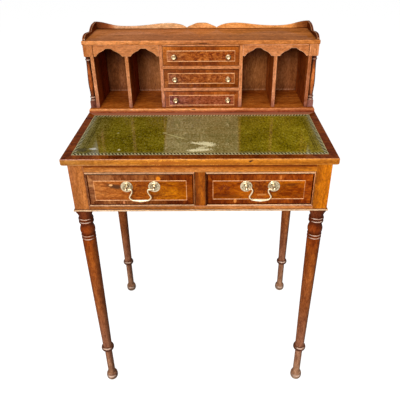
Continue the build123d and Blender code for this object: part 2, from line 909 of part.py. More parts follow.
with BuildPart() as upper_sides:
    block((-outer_x, upper_front, floor_z), (-inner_x, upper_back, shelf_under))
    block(
        (-outer_x - side_backing, upper_front + frieze_block, floor_z),
        (-outer_x, upper_back, shelf_under),
    )
    block(
        (-outer_x, upper_front, frieze_low),
        (-inner_x, upper_front + frieze_block, shelf_under),
        mode=Mode.SUBTRACT,
    )
    block(
        (-inner_x - panel_rebate, panel_front, floor_z),
        (-inner_x, upper_back, shelf_under),
        mode=Mode.SUBTRACT,
    )
    mirror(about=Plane.YZ)

with BuildPart() as upper_back_panel:
    block(
        (-inner_x - panel_rebate, panel_front, floor_z),
        (inner_x + panel_rebate, upper_back, shelf_under),
    )

with BuildPart() as pigeonhole_dividers:
    block(
        (divider_x - partition_thick / 2, upper_front, floor_z),
        (divider_x + partition_thick / 2, panel_front, shelf_under),
    )
    block(
        (divider_x - partition_thick / 2, upper_front, frieze_low),
        (divider_x + partition_thick / 2, upper_front + valance_thick, shelf_under),
        mode=Mode.SUBTRACT,
    )
    mirror(about=Plane.YZ)

nest_rails_z = [(rail_one, rail_one + nest_rail), (rail_two, rail_two + nest_rail)]
with BuildPart() as nest_sides:
    block((nest_x, upper_front, floor_z), (nest_outer, panel_front, shelf_under))
    for low, high in nest_rails_z:
        block((nest_x, upper_front, low), (nest_x + rail_housing, panel_front, high), mode=Mode.SUBTRACT)
    mirror(about=Plane.YZ)

with BuildPart() as nest_rails:
    for low, high in nest_rails_z:
        block((-nest_x - rail_housing, upper_front, low), (nest_x + rail_housing, panel_front, high))
    fillet(nest_rails.edges().filter_by(Axis.X).group_by(Axis.Y)[0], radius=nest_rail_round)
    block((-nest_x, upper_front, top_rail_z), (nest_x, upper_front + nest_top_rail_depth, shelf_under))

# Frieze blocks, and the columns that stand under them on the base board
with BuildPart() as frieze_blocks:
    block((inner_x, upper_front, frieze_low), (corner_x, upper_front + frieze_block, shelf_under))
    with Locations((column_x, column_y, frieze_low)):
        Cylinder(
            column_spigot_dia / 2 + bolt_clearance, column_spigot, align=upright, mode=Mode.SUBTRACT
        )
    mirror(about=Plane.YZ)

block_top = floor_z + column_block
base_ring_two = block_top + column_base_ring + column_base_groove
shaft_low = base_ring_two + column_base_ring
ring_high = frieze_low - column_ring_depth
ring_low = ring_high - column_ring
with BuildPart() as columns:
    block(
        (outer_x, upper_front, floor_z),
        (corner_x, upper_front + column_size, block_top),
    )
    with BuildSketch(facing_front(column_x, column_y, 0)):
        with BuildLine():
            Line((0, floor_z - column_spigot), (column_spigot_dia / 2, floor_z - column_spigot))
            Line((column_spigot_dia / 2, floor_z - column_spigot), (column_spigot_dia / 2, block_top))
            Line((column_spigot_dia / 2, block_top), (column_base_groove_dia / 2, block_top))
            ring(
                column_base_ring_dia / 2,
                block_top,
                block_top + column_base_ring,
                column_base_groove_dia / 2,
                column_base_groove_dia / 2,
            )
            Line(
                (column_base_groove_dia / 2, block_top + column_base_ring),
                (column_base_groove_dia / 2, base_ring_two),
            )
            ring(
                column_base_ring_dia / 2,
                base_ring_two,
                shaft_low,
                column_base_groove_dia / 2,
                column_low_dia / 2,
            )
            ThreePointArc(
                (column_low_dia / 2, shaft_low),
                (column_belly_dia / 2, floor_z + column_belly_rise),
                (column_top_dia / 2, ring_low),
            )
            ring(column_ring_dia / 2, ring_low, ring_high, column_top_dia / 2, column_neck_dia / 2)
            Line((column_neck_dia / 2, ring_high), (column_neck_dia / 2, frieze_low - column_cap))
            Line(
                (column_neck_dia / 2, frieze_low - column_cap), (column_cap_dia / 2, frieze_low - column_cap)
            )
            Line((column_cap_dia / 2, frieze_low - column_cap), (column_cap_dia / 2, frieze_low))
            Line((column_cap_dia / 2, frieze_low), (column_spigot_dia / 2, frieze_low))
            Line(
                (column_spigot_dia / 2, frieze_low), (column_spigot_dia / 2, frieze_low + column_spigot)
            )
            Line((column_spigot_dia / 2, frieze_low + column_spigot), (0, frieze_low + column_spigot))
            Line((0, frieze_low + column_spigot), (0, floor_z - column_spigot))
        make_face()
    revolve(axis=Axis((column_x, column_y, 0), (0, 0, 1)))
    mirror(about=Plane.YZ)


# Valances: two arches with a pendant between them, over each pair of pigeonholes
def draw_arch(middle, half):
    """Draws one arched opening with a level crown and ogee shoulders."""

    def place(side, share):
        return middle + side * half * share[0], frieze_low + arch_rise * share[1]

    crown = (arch_crown_share, 1)
    with BuildLine() as outline:
        for side in (-1, 1):
            ThreePointArc(place(side, crown), place(side, arch_hollow_share), place(side, arch_turn_share))
            ThreePointArc(place(side, arch_turn_share), place(side, arch_swell_share), place(side, (1, 0)))
        Line(place(-1, crown), place(1, crown))
        Line(place(-1, (1, 0)), place(1, (1, 0)))
    make_face(outline.edges(), mode=Mode.SUBTRACT)


arch_width = (inner_x - nest_outer - pendant_width) / 2 - valance_foot
with BuildPart() as valances:
    with BuildSketch(facing_front(0, upper_front + valance_thick, 0)):
        with Locations(((nest_outer + inner_x) / 2, (frieze_low + shelf_under) / 2)):
            Rectangle(inner_x - nest_outer, frieze_height)
        for side in (-1, 1):
            draw_arch(divider_x + side * (pendant_width + arch_width) / 2, arch_width / 2)
    extrude(amount=valance_thick)
    mirror(about=Plane.YZ)

with BuildPart() as top_shelf:
    block((-shelf_edge, shelf_nose, shelf_under), (shelf_edge, board_back, shelf_top))
    long_edges = top_shelf.edges().filter_by(Axis.X).group_by(Axis.Y)[0]
    fillet(long_edges + top_shelf.edges().filter_by(Axis.Y), radius=shelf_round)

# Gallery: a scrolled back board and two scrolled side boards that butt against it
gallery_x = shelf_edge - gallery_inset
gallery_back_y = board_back - gallery_inset
gallery_side_front = shelf_nose + gallery_front_inset
gallery_side_length = gallery_back_y - gallery_thick - gallery_side_front


def crest(shares, length, start):
    """Places of an outline given as shares of a board's length and of the gallery's height."""
    return [(start + along * length, shelf_top + up * gallery_height) for along, up in shares]


with BuildPart() as gallery_back:
    with BuildSketch(facing_front(0, gallery_back_y, 0)):
        with BuildLine():
            notch = crest((gallery_notch_share,), gallery_x, 0)[0]
            middle_crest = crest(gallery_crest_shares, gallery_x, 0)
            outer_crest = crest(gallery_back_shares, gallery_x, 0)
            Spline(*middle_crest, notch, tangents=((1, 0), (1, -1)))
            Spline(notch, *outer_crest)
            Polyline(outer_crest[-1], (gallery_x, shelf_top), (0, shelf_top), middle_crest[0])
        make_face()
    extrude(amount=gallery_thick)
    mirror(about=Plane.YZ)

with BuildPart() as gallery_sides:
    with BuildSketch(facing_side(gallery_x - gallery_thick)):
        with BuildLine():
            front_crest = crest(gallery_side_front_shares, gallery_side_length, gallery_side_front)
            rear_crest = crest(gallery_side_back_shares, gallery_side_length, gallery_side_front)
            Spline(*front_crest)
            Spline(*rear_crest)
            Polyline(
                rear_crest[-1],
                (gallery_side_front + gallery_side_length, shelf_top),
                (gallery_side_front, shelf_top),
                front_crest[0],
            )
        make_face()
    extrude(amount=gallery_thick)
    mirror(about=Plane.YZ)

# Screws that hold the top to the carcass, and the upper part to the top
with BuildPart() as fixing_screws:
    with Locations(*top_screws):
        screw(top_screw_bite, top_rail_height, 0)
    with Locations(*upper_screws):
        screw(upper_screw_bite, top_thick, 0)

# Small drawers with their knobs
small_places = (
    ("bottom_small_drawer", floor_z, rail_one),
    ("middle_small_drawer", rail_one + nest_rail, rail_two),
    ("top_small_drawer", rail_two + nest_rail, top_rail_z),
)
for name, space_low, space_high in small_places:
    left = -nest_x + small_gap
    right = nest_x - small_gap
    low = space_low + small_gap
    high = space_high - small_gap
    box = make_box(left, right, low, high, upper_front, panel_front - small_back_gap, small_make)
    knob_plane = facing_front(0, upper_front, (space_low + space_high) / 2)
    with BuildPart() as front:
        add(box["front"].part)
        with BuildSketch(knob_plane):
            with Locations((-knob_spread / 2, 0), (knob_spread / 2, 0)):
                Circle(knob_stud_dia / 2 + stud_clearance)
        extrude(amount=-knob_stud, mode=Mode.SUBTRACT)
    with BuildPart() as knobs:
        for side in (-1, 1):
            x = side * knob_spread / 2
            z = (space_low + space_high) / 2
            head_low = knob_reach - knob_head
            with BuildSketch(facing_up(x, upper_front, z)):
                with BuildLine():
                    Polyline(
                        (0, knob_stud),
                        (knob_stud_dia / 2, knob_stud),
                        (knob_stud_dia / 2, 0),
                        (knob_flange_dia / 2, 0),
                        (knob_flange_dia / 2, -knob_flange),
                        (knob_stem_dia / 2, -knob_flange),
                        (knob_stem_dia / 2, -head_low),
                    )
                    ThreePointArc(
                        (knob_stem_dia / 2, -head_low),
                        (knob_dia / 2, -(head_low + knob_reach) / 2),
                        (knob_flat_dia / 2, -knob_reach),
                    )
                    Polyline((knob_flat_dia / 2, -knob_reach), (0, -knob_reach), (0, knob_stud))
                make_face()
            revolve(axis=Axis((x, upper_front, z), (0, 1, 0)))
    pieces[name + "_front"] = front
    pieces[name + "_sides"] = box["sides"]
    pieces[name + "_back"] = box["back"]
    pieces[name + "_bottom"] = box["bottom"]
    pieces[name + "_knobs"] = knobs

pieces.update(
    leg_front_left=leg_front_left,
    leg_front_right=leg_front_right,
    leg_back_left=leg_back_left,
    leg_back_right=leg_back_right,
    leg_bolts=leg_bolts,
    corner_posts=corner_posts,
    side_aprons=side_aprons,
    back_apron=back_apron,
    front_top_rail=front_top_rail,
    front_bottom_rail=front_bottom_rail,
    centre_stile=centre_stile,
    drawer_runners=drawer_runners,
    base_bead=[bead_front, bead_left, bead_right],
    top_board=top_board,
    top_lipping=lipping_strips,
    desk_leather=desk_leather,
    upper_base_board=upper_base_board,
    upper_sides=upper_sides,
    upper_back_panel=upper_back_panel,
    pigeonhole_dividers=pigeonhole_dividers,
    nest_sides=nest_sides,
    nest_rails=nest_rails,
    frieze_blocks=frieze_blocks,
    columns=columns,
    valances=valances,
    top_shelf=top_shelf,
    gallery_back=gallery_back,
    gallery_sides=gallery_sides,
    fixing_screws=fixing_screws,
)

os.makedirs("parts", exist_ok=True)
for name, piece in pieces.items():
    part = grouped(name, *piece) if isinstance(piece, list) else piece.part
    part.label = name
    export_step(part, f"parts/{name}.step")
print(len(pieces), "nodes")
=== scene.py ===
"""A lady's writing desk in polished wood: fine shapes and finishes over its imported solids."""

import json
import logging
import math
from collections.abc import Callable
from dataclasses import dataclass, replace
from enum import Enum
from functools import cache

import bpy
from mathutils import Matrix, Vector

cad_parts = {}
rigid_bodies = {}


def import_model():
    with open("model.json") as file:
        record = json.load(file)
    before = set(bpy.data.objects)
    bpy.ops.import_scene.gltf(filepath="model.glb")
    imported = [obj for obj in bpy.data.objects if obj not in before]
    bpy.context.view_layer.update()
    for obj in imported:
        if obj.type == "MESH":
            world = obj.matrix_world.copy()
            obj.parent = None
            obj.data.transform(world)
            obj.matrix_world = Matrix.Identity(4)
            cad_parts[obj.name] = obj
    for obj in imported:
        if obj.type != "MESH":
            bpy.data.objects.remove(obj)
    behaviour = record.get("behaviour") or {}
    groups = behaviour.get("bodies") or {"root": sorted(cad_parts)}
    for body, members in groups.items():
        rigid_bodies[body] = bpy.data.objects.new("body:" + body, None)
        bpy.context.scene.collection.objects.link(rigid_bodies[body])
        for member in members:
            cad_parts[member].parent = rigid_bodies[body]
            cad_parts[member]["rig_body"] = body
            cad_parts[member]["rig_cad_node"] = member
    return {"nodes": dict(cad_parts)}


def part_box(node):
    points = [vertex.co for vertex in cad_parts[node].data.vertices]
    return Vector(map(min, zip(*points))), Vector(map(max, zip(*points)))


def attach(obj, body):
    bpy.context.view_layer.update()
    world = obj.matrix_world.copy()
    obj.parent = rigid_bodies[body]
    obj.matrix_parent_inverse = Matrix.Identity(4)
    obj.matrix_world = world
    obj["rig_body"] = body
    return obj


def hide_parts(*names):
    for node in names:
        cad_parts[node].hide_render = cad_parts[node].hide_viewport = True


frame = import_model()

LOG = logging.getLogger("desk")
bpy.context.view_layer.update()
MM = 0.001
QUARTER = math.pi / 2
Triple = tuple[float, float, float]
Stop = tuple[float, float, float, float]
Rect = tuple[float, float, float, float]
Piece = bpy.types.Object
Finish = bpy.types.Material
Socket = bpy.types.NodeSocket
Node = bpy.types.Node
Tree = bpy.types.NodeTree
FaceTest = Callable[[Vector, Vector], bool]
CutPath = Callable[[float], tuple[float, float]]
Inputs = dict[str | int, object]
# Numbers of the colour sockets of a Mix node
SHARE, UNDER, OVER, MIXED = 0, 6, 7, 2


# Finishes


class Grain(Enum):
    """The way that the fibres of a board run."""

    ACROSS_DESK = (1.0, 0.0, 0.0)
    FRONT_TO_BACK = (0.0, 1.0, 0.0)
    UPRIGHT = (0.0, 0.0, 1.0)

    def stretched(self, along: float, across: float) -> Triple:
        """A pattern's scale on each axis, from its repeats per metre along and across the fibres."""
        return tuple(along if share else across for share in self.value)


def longest_way(piece: Piece) -> Grain:
    """The grain that runs along a board's longest side."""
    sides = list(piece.dimensions)
    return list(Grain)[sides.index(max(sides))]


def feed(node: Node, inputs: Inputs) -> None:
    """Sets a node's inputs.

    Args:
        node: the node.
        inputs: a plain value, an output socket or a Grey for each input, by its name or number.
    """
    for key, value in inputs.items():
        source = getattr(value, "socket", value)
        target = node.inputs[key]
        if isinstance(source, Socket):
            node.id_data.links.new(source, target)
        else:
            target.default_value = (*source, 1.0) if target.type == "RGBA" else source


def add_node(tree: Tree, kind: str, inputs: Inputs | None = None, **settings: object) -> Node:
    """Adds a shader node.

    Args:
        tree: the node tree that it goes into.
        kind: its type, without the leading ShaderNode.
        inputs: what its inputs get.
        settings: its properties.

    Returns:
        The node.
    """
    made = tree.nodes.new("ShaderNode" + kind)
    for key, value in settings.items():
        setattr(made, key, value)
    feed(made, inputs or {})
    return made


class Grey:
    """A grey value in a node tree, of which sums, products and masks are made."""

    def __init__(self, socket: Socket) -> None:
        """Holds the output socket that gives the value."""
        self.socket = socket
        self.tree = socket.id_data

    def by(self, operation: str, other: object = 0.0, swapped: bool = False) -> "Grey":
        """The result of a Math node on this value and another, or on the other and this one."""
        values = {0: other, 1: self} if swapped else {0: self, 1: other}
        return Grey(add_node(self.tree, "Math", values, operation=operation).outputs[0])

    def __add__(self, other: object) -> "Grey":
        """The sum of two values."""
        return self.by("ADD", other)

    def __sub__(self, other: object) -> "Grey":
        """This value less another."""
        return self.by("SUBTRACT", other)

    def __rsub__(self, other: float) -> "Grey":
        """A number less this value."""
        return self.by("SUBTRACT", other, swapped=True)

    def __mul__(self, other: object) -> "Grey":
        """The product of two values."""
        return self.by("MULTIPLY", other)

    def __truediv__(self, other: object) -> "Grey":
        """This value divided by another."""
        return self.by("DIVIDE", other)

    def __abs__(self) -> "Grey":
        """The value without its sign."""
        return self.by("ABSOLUTE")

    def mask(self, low: float, high: float) -> "Grey":
        """Runs smoothly from 0 where the value is low to 1 where it is high."""
        ends = {"Value": self, "From Min": low, "From Max": high}
        return Grey(add_node(self.tree, "MapRange", ends, interpolation_type="SMOOTHSTEP").outputs[0])


class Paint:
    """A node material, built up layer by layer."""

    def __init__(
        self, name: str, coat: float = 0.0, coat_roughness: float = 0.08, sheen: float = 0.5
    ) -> None:
        """Starts a material with a Principled shader.

        Args:
            name: the material's name.
            coat: weight of the clear polish.
            coat_roughness: roughness of the polish.
            sheen: specular level of what lies under the polish.
        """
        self.material = bpy.data.materials.new(name)
        self.material.use_nodes = True
        self.material.node_tree.nodes.clear()
        self.shader = self.node("BsdfPrincipled")
        self.output = self.node("OutputMaterial", {"Surface": self.shader.outputs["BSDF"]})
        self.place = self.node("TexCoord")
        self.shader.inputs["Coat Weight"].default_value = coat
        self.shader.inputs["Coat Roughness"].default_value = coat_roughness
        self.shader.inputs["Specular IOR Level"].default_value = sheen

    def node(self, kind: str, inputs: Inputs | None = None, **settings: object) -> Node:
        """Adds a node to the material."""
        return add_node(self.material.node_tree, kind, inputs, **settings)

    def axes(self, source: str = "Object") -> list[Grey]:
        """The x, y and z of the piece's own place, or with Normal of the way that it faces."""
        parts = self.node("SeparateXYZ", {"Vector": self.place.outputs[source]})
        return [Grey(part) for part in parts.outputs]

    def noise(
        self, scale: float | Triple, shift: float, detail: float, rough: float = 0.5, swirl: float = 0.0
    ) -> Grey:
        """A noise pattern on the piece's own coordinates.

        Args:
            scale: repeats per metre, the same on all axes or one for each.
            shift: moves it along all axes.
            detail: how many octaves it has.
            rough: how strong the fine octaves are.
            swirl: how far it is swirled.

        Returns:
            Its grey value.
        """
        scales = scale if isinstance(scale, tuple) else (scale,) * 3
        lay = {"Vector": self.place.outputs["Object"], "Scale": scales, "Location": (shift,) * 3}
        laid = self.node("Mapping", lay, vector_type="POINT").outputs["Vector"]
        look = {"Vector": laid, "Scale": 1.0, "Detail": detail, "Roughness": rough, "Distortion": swirl}
        return Grey(self.node("TexNoise", look, noise_dimensions="3D").outputs["Fac"])

    def ramp(self, value: Grey, *stops: tuple[float, Triple]) -> Socket:
        """Colours a grey value.

        Args:
            value: the grey value.
            stops: places on it, each with its colour.

        Returns:
            The colour.
        """
        ramp = self.node("ValToRGB", {"Fac": value})
        elements = ramp.color_ramp.elements
        for _ in stops[len(elements):]:
            elements.new(0.5)
        for element, (place, colour) in zip(elements, stops):
            element.position = place
            element.color = (*colour, 1.0)
        return ramp.outputs["Color"]

    def blend(self, under: object, over: object, share: object, kind: str = "MIX") -> Socket:
        """Lays a share of one colour over another."""
        layers = {SHARE: share, UNDER: under, OVER: over}
        return self.node("Mix", layers, data_type="RGBA", blend_type=kind).outputs[MIXED]

    def crevices(self, reach: float, low: float, high: float) -> Grey:
        """A value that is 1 in corners and joints, and 0 in the open."""
        closeness = self.node("AmbientOcclusion", {"Distance": reach}, samples=6, only_local=False)
        return Grey(closeness.outputs["AO"]).mask(1.0 - low, 1.0 - high)

    def relief(self, height: Grey, strength: float, depth: float) -> None:
        """Raises the surface by a grey value, at most by depth metres."""
        bump = self.node("Bump", {"Height": height, "Strength": strength, "Distance": depth})
        feed(self.shader, {"Normal": bump.outputs["Normal"]})

    def coloured(self, colour: object, roughness: object, metallic: float = 0.0) -> Finish:
        """Sets the shader's main sockets and gives back the material."""
        feed(self.shader, {"Base Color": colour, "Roughness": roughness, "Metallic": metallic})
        return self.material


@dataclass(frozen=True)
class Mark:
    """A knot, stain, flaw or scratch at one place on the desk, in metres."""

    centre: Triple
    reach: Triple
    colour: Triple
    strength: float
    turn: Triple
    ragged: float
    fineness: float
    core: float = 0.3

    def lay(self, paint: Paint, colour: Socket) -> Socket:
        """Paints the mark over a colour.

        Args:
            paint: the material that it belongs to.
            colour: what lies under it.

        Returns:
            The colour with the mark on it.
        """
        frame_of_mark = {
            "Vector": paint.place.outputs["Object"],
            "Location": self.centre,
            "Rotation": tuple(math.radians(angle) for angle in self.turn),
            "Scale": self.reach,
        }
        local = paint.node("Mapping", frame_of_mark, vector_type="TEXTURE")
        length = paint.node("VectorMath", {0: local.outputs["Vector"]}, operation="LENGTH")
        rough = paint.noise(self.fineness, self.centre[0] * 50, 4, 0.65)
        far = Grey(length.outputs["Value"]) + (rough - 0.5) * (2.0 * self.ragged)
        return paint.blend(colour, self.colour, far.mask(1.0, self.core) * self.strength)


def marks_on(looks_along: Grain, level: float, depth: float, *rows: tuple) -> tuple[Mark, ...]:
    """Places marks on a flat face.

    Args:
        looks_along: the way that the face looks.
        level: its place on that way.
        depth: how far the marks reach on that way.
        rows: each mark's place and half size on the two other ways, its colour, strength and turn
            in degrees, and how ragged, how fine and how solid it is.

    Returns:
        The marks.
    """
    axis = list(Grain).index(looks_along)
    marks = []
    for first, second, wide, high, colour, strength, turn, *rest in rows:
        centre, reach, turns = [first, second], [wide, high], [0, 0]
        centre.insert(axis, level)
        reach.insert(axis, depth)
        turns.insert(axis, turn)
        marks.append(Mark(tuple(centre), tuple(reach), colour, strength, tuple(turns), *rest))
    return tuple(marks)


@dataclass(frozen=True)
class Fade:
    """A change of tone along one way of the desk: places in metres, each with its tint."""

    way: Grain
    stops: tuple[Stop, ...]

    def lay(self, paint: Paint, colour: Socket) -> Socket:
        """Tints a colour by its place.

        Args:
            paint: the material that it belongs to.
            colour: what is tinted.

        Returns:
            The tinted colour.
        """
        low, high = self.stops[0][0], self.stops[-1][0]
        along = paint.axes()[list(Grain).index(self.way)]
        stops = [((place - low) / (high - low), tint) for place, *tint in self.stops]
        return paint.blend(colour, paint.ramp((along - low) / (high - low), *stops), 1.0, "MULTIPLY")


def sideways(*stops: Stop) -> Fade:
    """A change of tone from the left to the right of the desk."""
    return Fade(Grain.ACROSS_DESK, stops)


def upwards(*stops: Stop) -> Fade:
    """A change of tone from the floor up."""
    return Fade(Grain.UPRIGHT, stops)


@dataclass(frozen=True)
class PolishedWood:
    """Stained and polished wood: streaks, clouds, fibres, pores, and painted shade in its corners.

    Its colours run from dark to light. Where lengths is set, it is veneer laid in short
    lengths, so many to the metre, each of its own tone. Flank shade is painted shade that
    darkens turned work on its right side, or on both sides where both_flanks is set.
    """

    name: str
    dark: Triple
    middle: Triple
    light: Triple
    streaks: float = 26.0
    drawn_out: float = 9.0
    swirl: float = 0.6
    burr: float = 0.0
    mottle: float = 110.0
    polish: float = 0.10
    sheen: float = 0.0
    roughness: float = 0.3
    # Dark of the pores, burr eyes and mitre lines, also used for the painted shade on flanks and in corners.
    dirt_and_shade: Triple = (0.03, 0.009, 0.004)
    corner_shade: float = 0.75
    lengths: float = 0.0
    flank_shade: float = 0.0
    both_flanks: bool = False
    fades: tuple[Fade, ...] = ()
    marks: tuple[Mark, ...] = ()

    def rubbed_and_lit(self, share: float) -> "PolishedWood":
        """The same wood, paler on its arrises by a share from 0 to 1: wear, and a painted highlight.

        Args:
            share: how far it is paled.

        Returns:
            The paler wood.
        """
        dark, middle, light = (
            tuple(tone + (pale - tone) * share for tone, pale in zip(colour, PALE_WEAR_AND_HIGHLIGHT))
            for colour in (self.dark, self.middle, self.light)
        )
        name = f"{self.name}_rubbed_{share:g}"
        return replace(self, name=name, dark=dark, middle=middle, light=light, corner_shade=self.corner_shade * (1 - share))

    def figure(self, paint: Paint, grain: Grain, shift: float) -> tuple[Socket, Grey, Grey]:
        """Lays the wood's figure.

        Args:
            paint: the material that it goes into.
            grain: the way of the fibres.
            shift: moves the pattern, so that boards differ.

        Returns:
            The colour, the relief's height and the roughness.
        """
        drawn = grain.stretched(self.streaks / self.drawn_out, self.streaks)
        streaks = paint.noise(drawn, shift, 5, 0.55, self.swirl)
        clouds = paint.noise(7.0, shift + 3, 3, 0.55, 0.4)
        fibres = paint.noise(grain.stretched(38.0, 700.0), shift, 3, 0.6)
        pores = paint.noise(grain.stretched(110.0, 1500.0), shift, 2).mask(0.6, 0.72)
        flame = paint.noise(grain.stretched(self.mottle / 2.5, self.mottle), shift + 7, 4, 0.6, 0.8)
        tone = streaks * 0.45 + clouds * 0.15 + flame * 0.4
        colour = paint.ramp(tone, (0.41, self.dark), (0.5, self.middle), (0.59, self.light))
        fine = paint.ramp(fibres, (0.3, (0.72, 0.66, 0.6)), (0.7, (1.16, 1.14, 1.1)))
        colour = paint.blend(colour, fine, 0.8, "MULTIPLY")
        grime = paint.noise(grain.stretched(150.0, 340.0), shift + 11, 3, 0.65)
        flecks = paint.ramp(grime, (0.36, (0.66, 0.58, 0.5)), (0.5, (1, 1, 1)), (0.64, (1.26, 1.26, 1.22)))
        colour = paint.blend(colour, flecks, 0.75, "MULTIPLY")
        if self.burr:
            eyes = paint.noise(210.0, shift, 5, 0.7, 1.4)
            colour = paint.blend(colour, self.dirt_and_shade, eyes.mask(0.56, 0.72) * self.burr)
        if self.lengths:
            x, _, z = paint.axes()
            strip = (((z if grain is Grain.ACROSS_DESK else x) + shift) * self.lengths).by("FLOOR")
            chance = Grey(paint.node("TexWhiteNoise", {"W": strip}, noise_dimensions="1D").outputs["Value"])
            tones = paint.ramp(chance, (0.0, (0.8, 0.72, 0.74)), (1.0, (1.18, 1.2, 1.14)))
            colour = paint.blend(colour, tones, 0.9, "MULTIPLY")
        colour = paint.blend(colour, self.dirt_and_shade, pores * 0.35)
        for layer in (*self.fades, *self.marks):
            colour = layer.lay(paint, colour)
        # Painted shade: turned work darker on its right side, or on both sides, by the way that it faces.
        if self.flank_shade:
            side = paint.axes("Normal")[0]
            side = abs(side) if self.both_flanks else side
            colour = paint.blend(colour, self.dirt_and_shade, side.mask(0.2, 0.9) * self.flank_shade)
        # Painted shade: darkens the corners and joints that ambient occlusion finds.
        colour = paint.blend(colour, self.dirt_and_shade, paint.crevices(0.007, 0.4, 0.95) * self.corner_shade)
        return colour, fibres - pores, clouds * 0.12 + (self.roughness - 0.06)

    def material(self, grain: Grain, shift: float = 0.0) -> Finish:
        """The wood with its fibres running one way, made once for each grain and shift.

        Args:
            grain: the way of the fibres.
            shift: moves the pattern, so that boards differ.

        Returns:
            The material.
        """
        name = f"{self.name}_{grain.name.lower()}_{shift:g}"
        if name in bpy.data.materials:
            return bpy.data.materials[name]
        paint = Paint(name, coat=self.polish, sheen=self.sheen)
        colour, height, gloss = self.figure(paint, grain, shift)
        paint.relief(height, 0.12, 0.0003)
        return paint.coloured(colour, gloss)


@dataclass(frozen=True)
class BorderVeneer:
    """Cross-banding round the leather, mitred at the corners, its fibres square to the edges."""

    wood: PolishedWood
    half_width: float
    front: float
    back: float
    back_strip: Triple = (0.40, 0.150, 0.075)

    @cache
    def material(self) -> Finish:
        """Paints the border, once.

        Returns:
            The material.
        """
        paint = Paint("border_veneer", coat=0.06, coat_roughness=0.06, sheen=0.0)
        at_end, height, gloss = self.wood.figure(paint, Grain.FRONT_TO_BACK, 0.0)
        at_side, side_height, _ = self.wood.figure(paint, Grain.ACROSS_DESK, 1.3)
        x, y, _ = paint.axes()
        beyond_back = y - self.back
        mitre = abs(x) - self.half_width - (self.front - y).by("MAXIMUM", beyond_back)
        beside = mitre.by("GREATER_THAN")
        colour = paint.blend(at_end, at_side, beside)
        colour = paint.blend(colour, self.back_strip, beyond_back.mask(0.0, 0.0008) * (1.0 - beside) * 0.85)
        colour = paint.blend(colour, self.wood.dirt_and_shade, abs(mitre).mask(0.0009, 0.0002) * 0.5)
        paint.relief(height + side_height, 0.08, 0.0003)
        return paint.coloured(colour, gloss * 0.8)


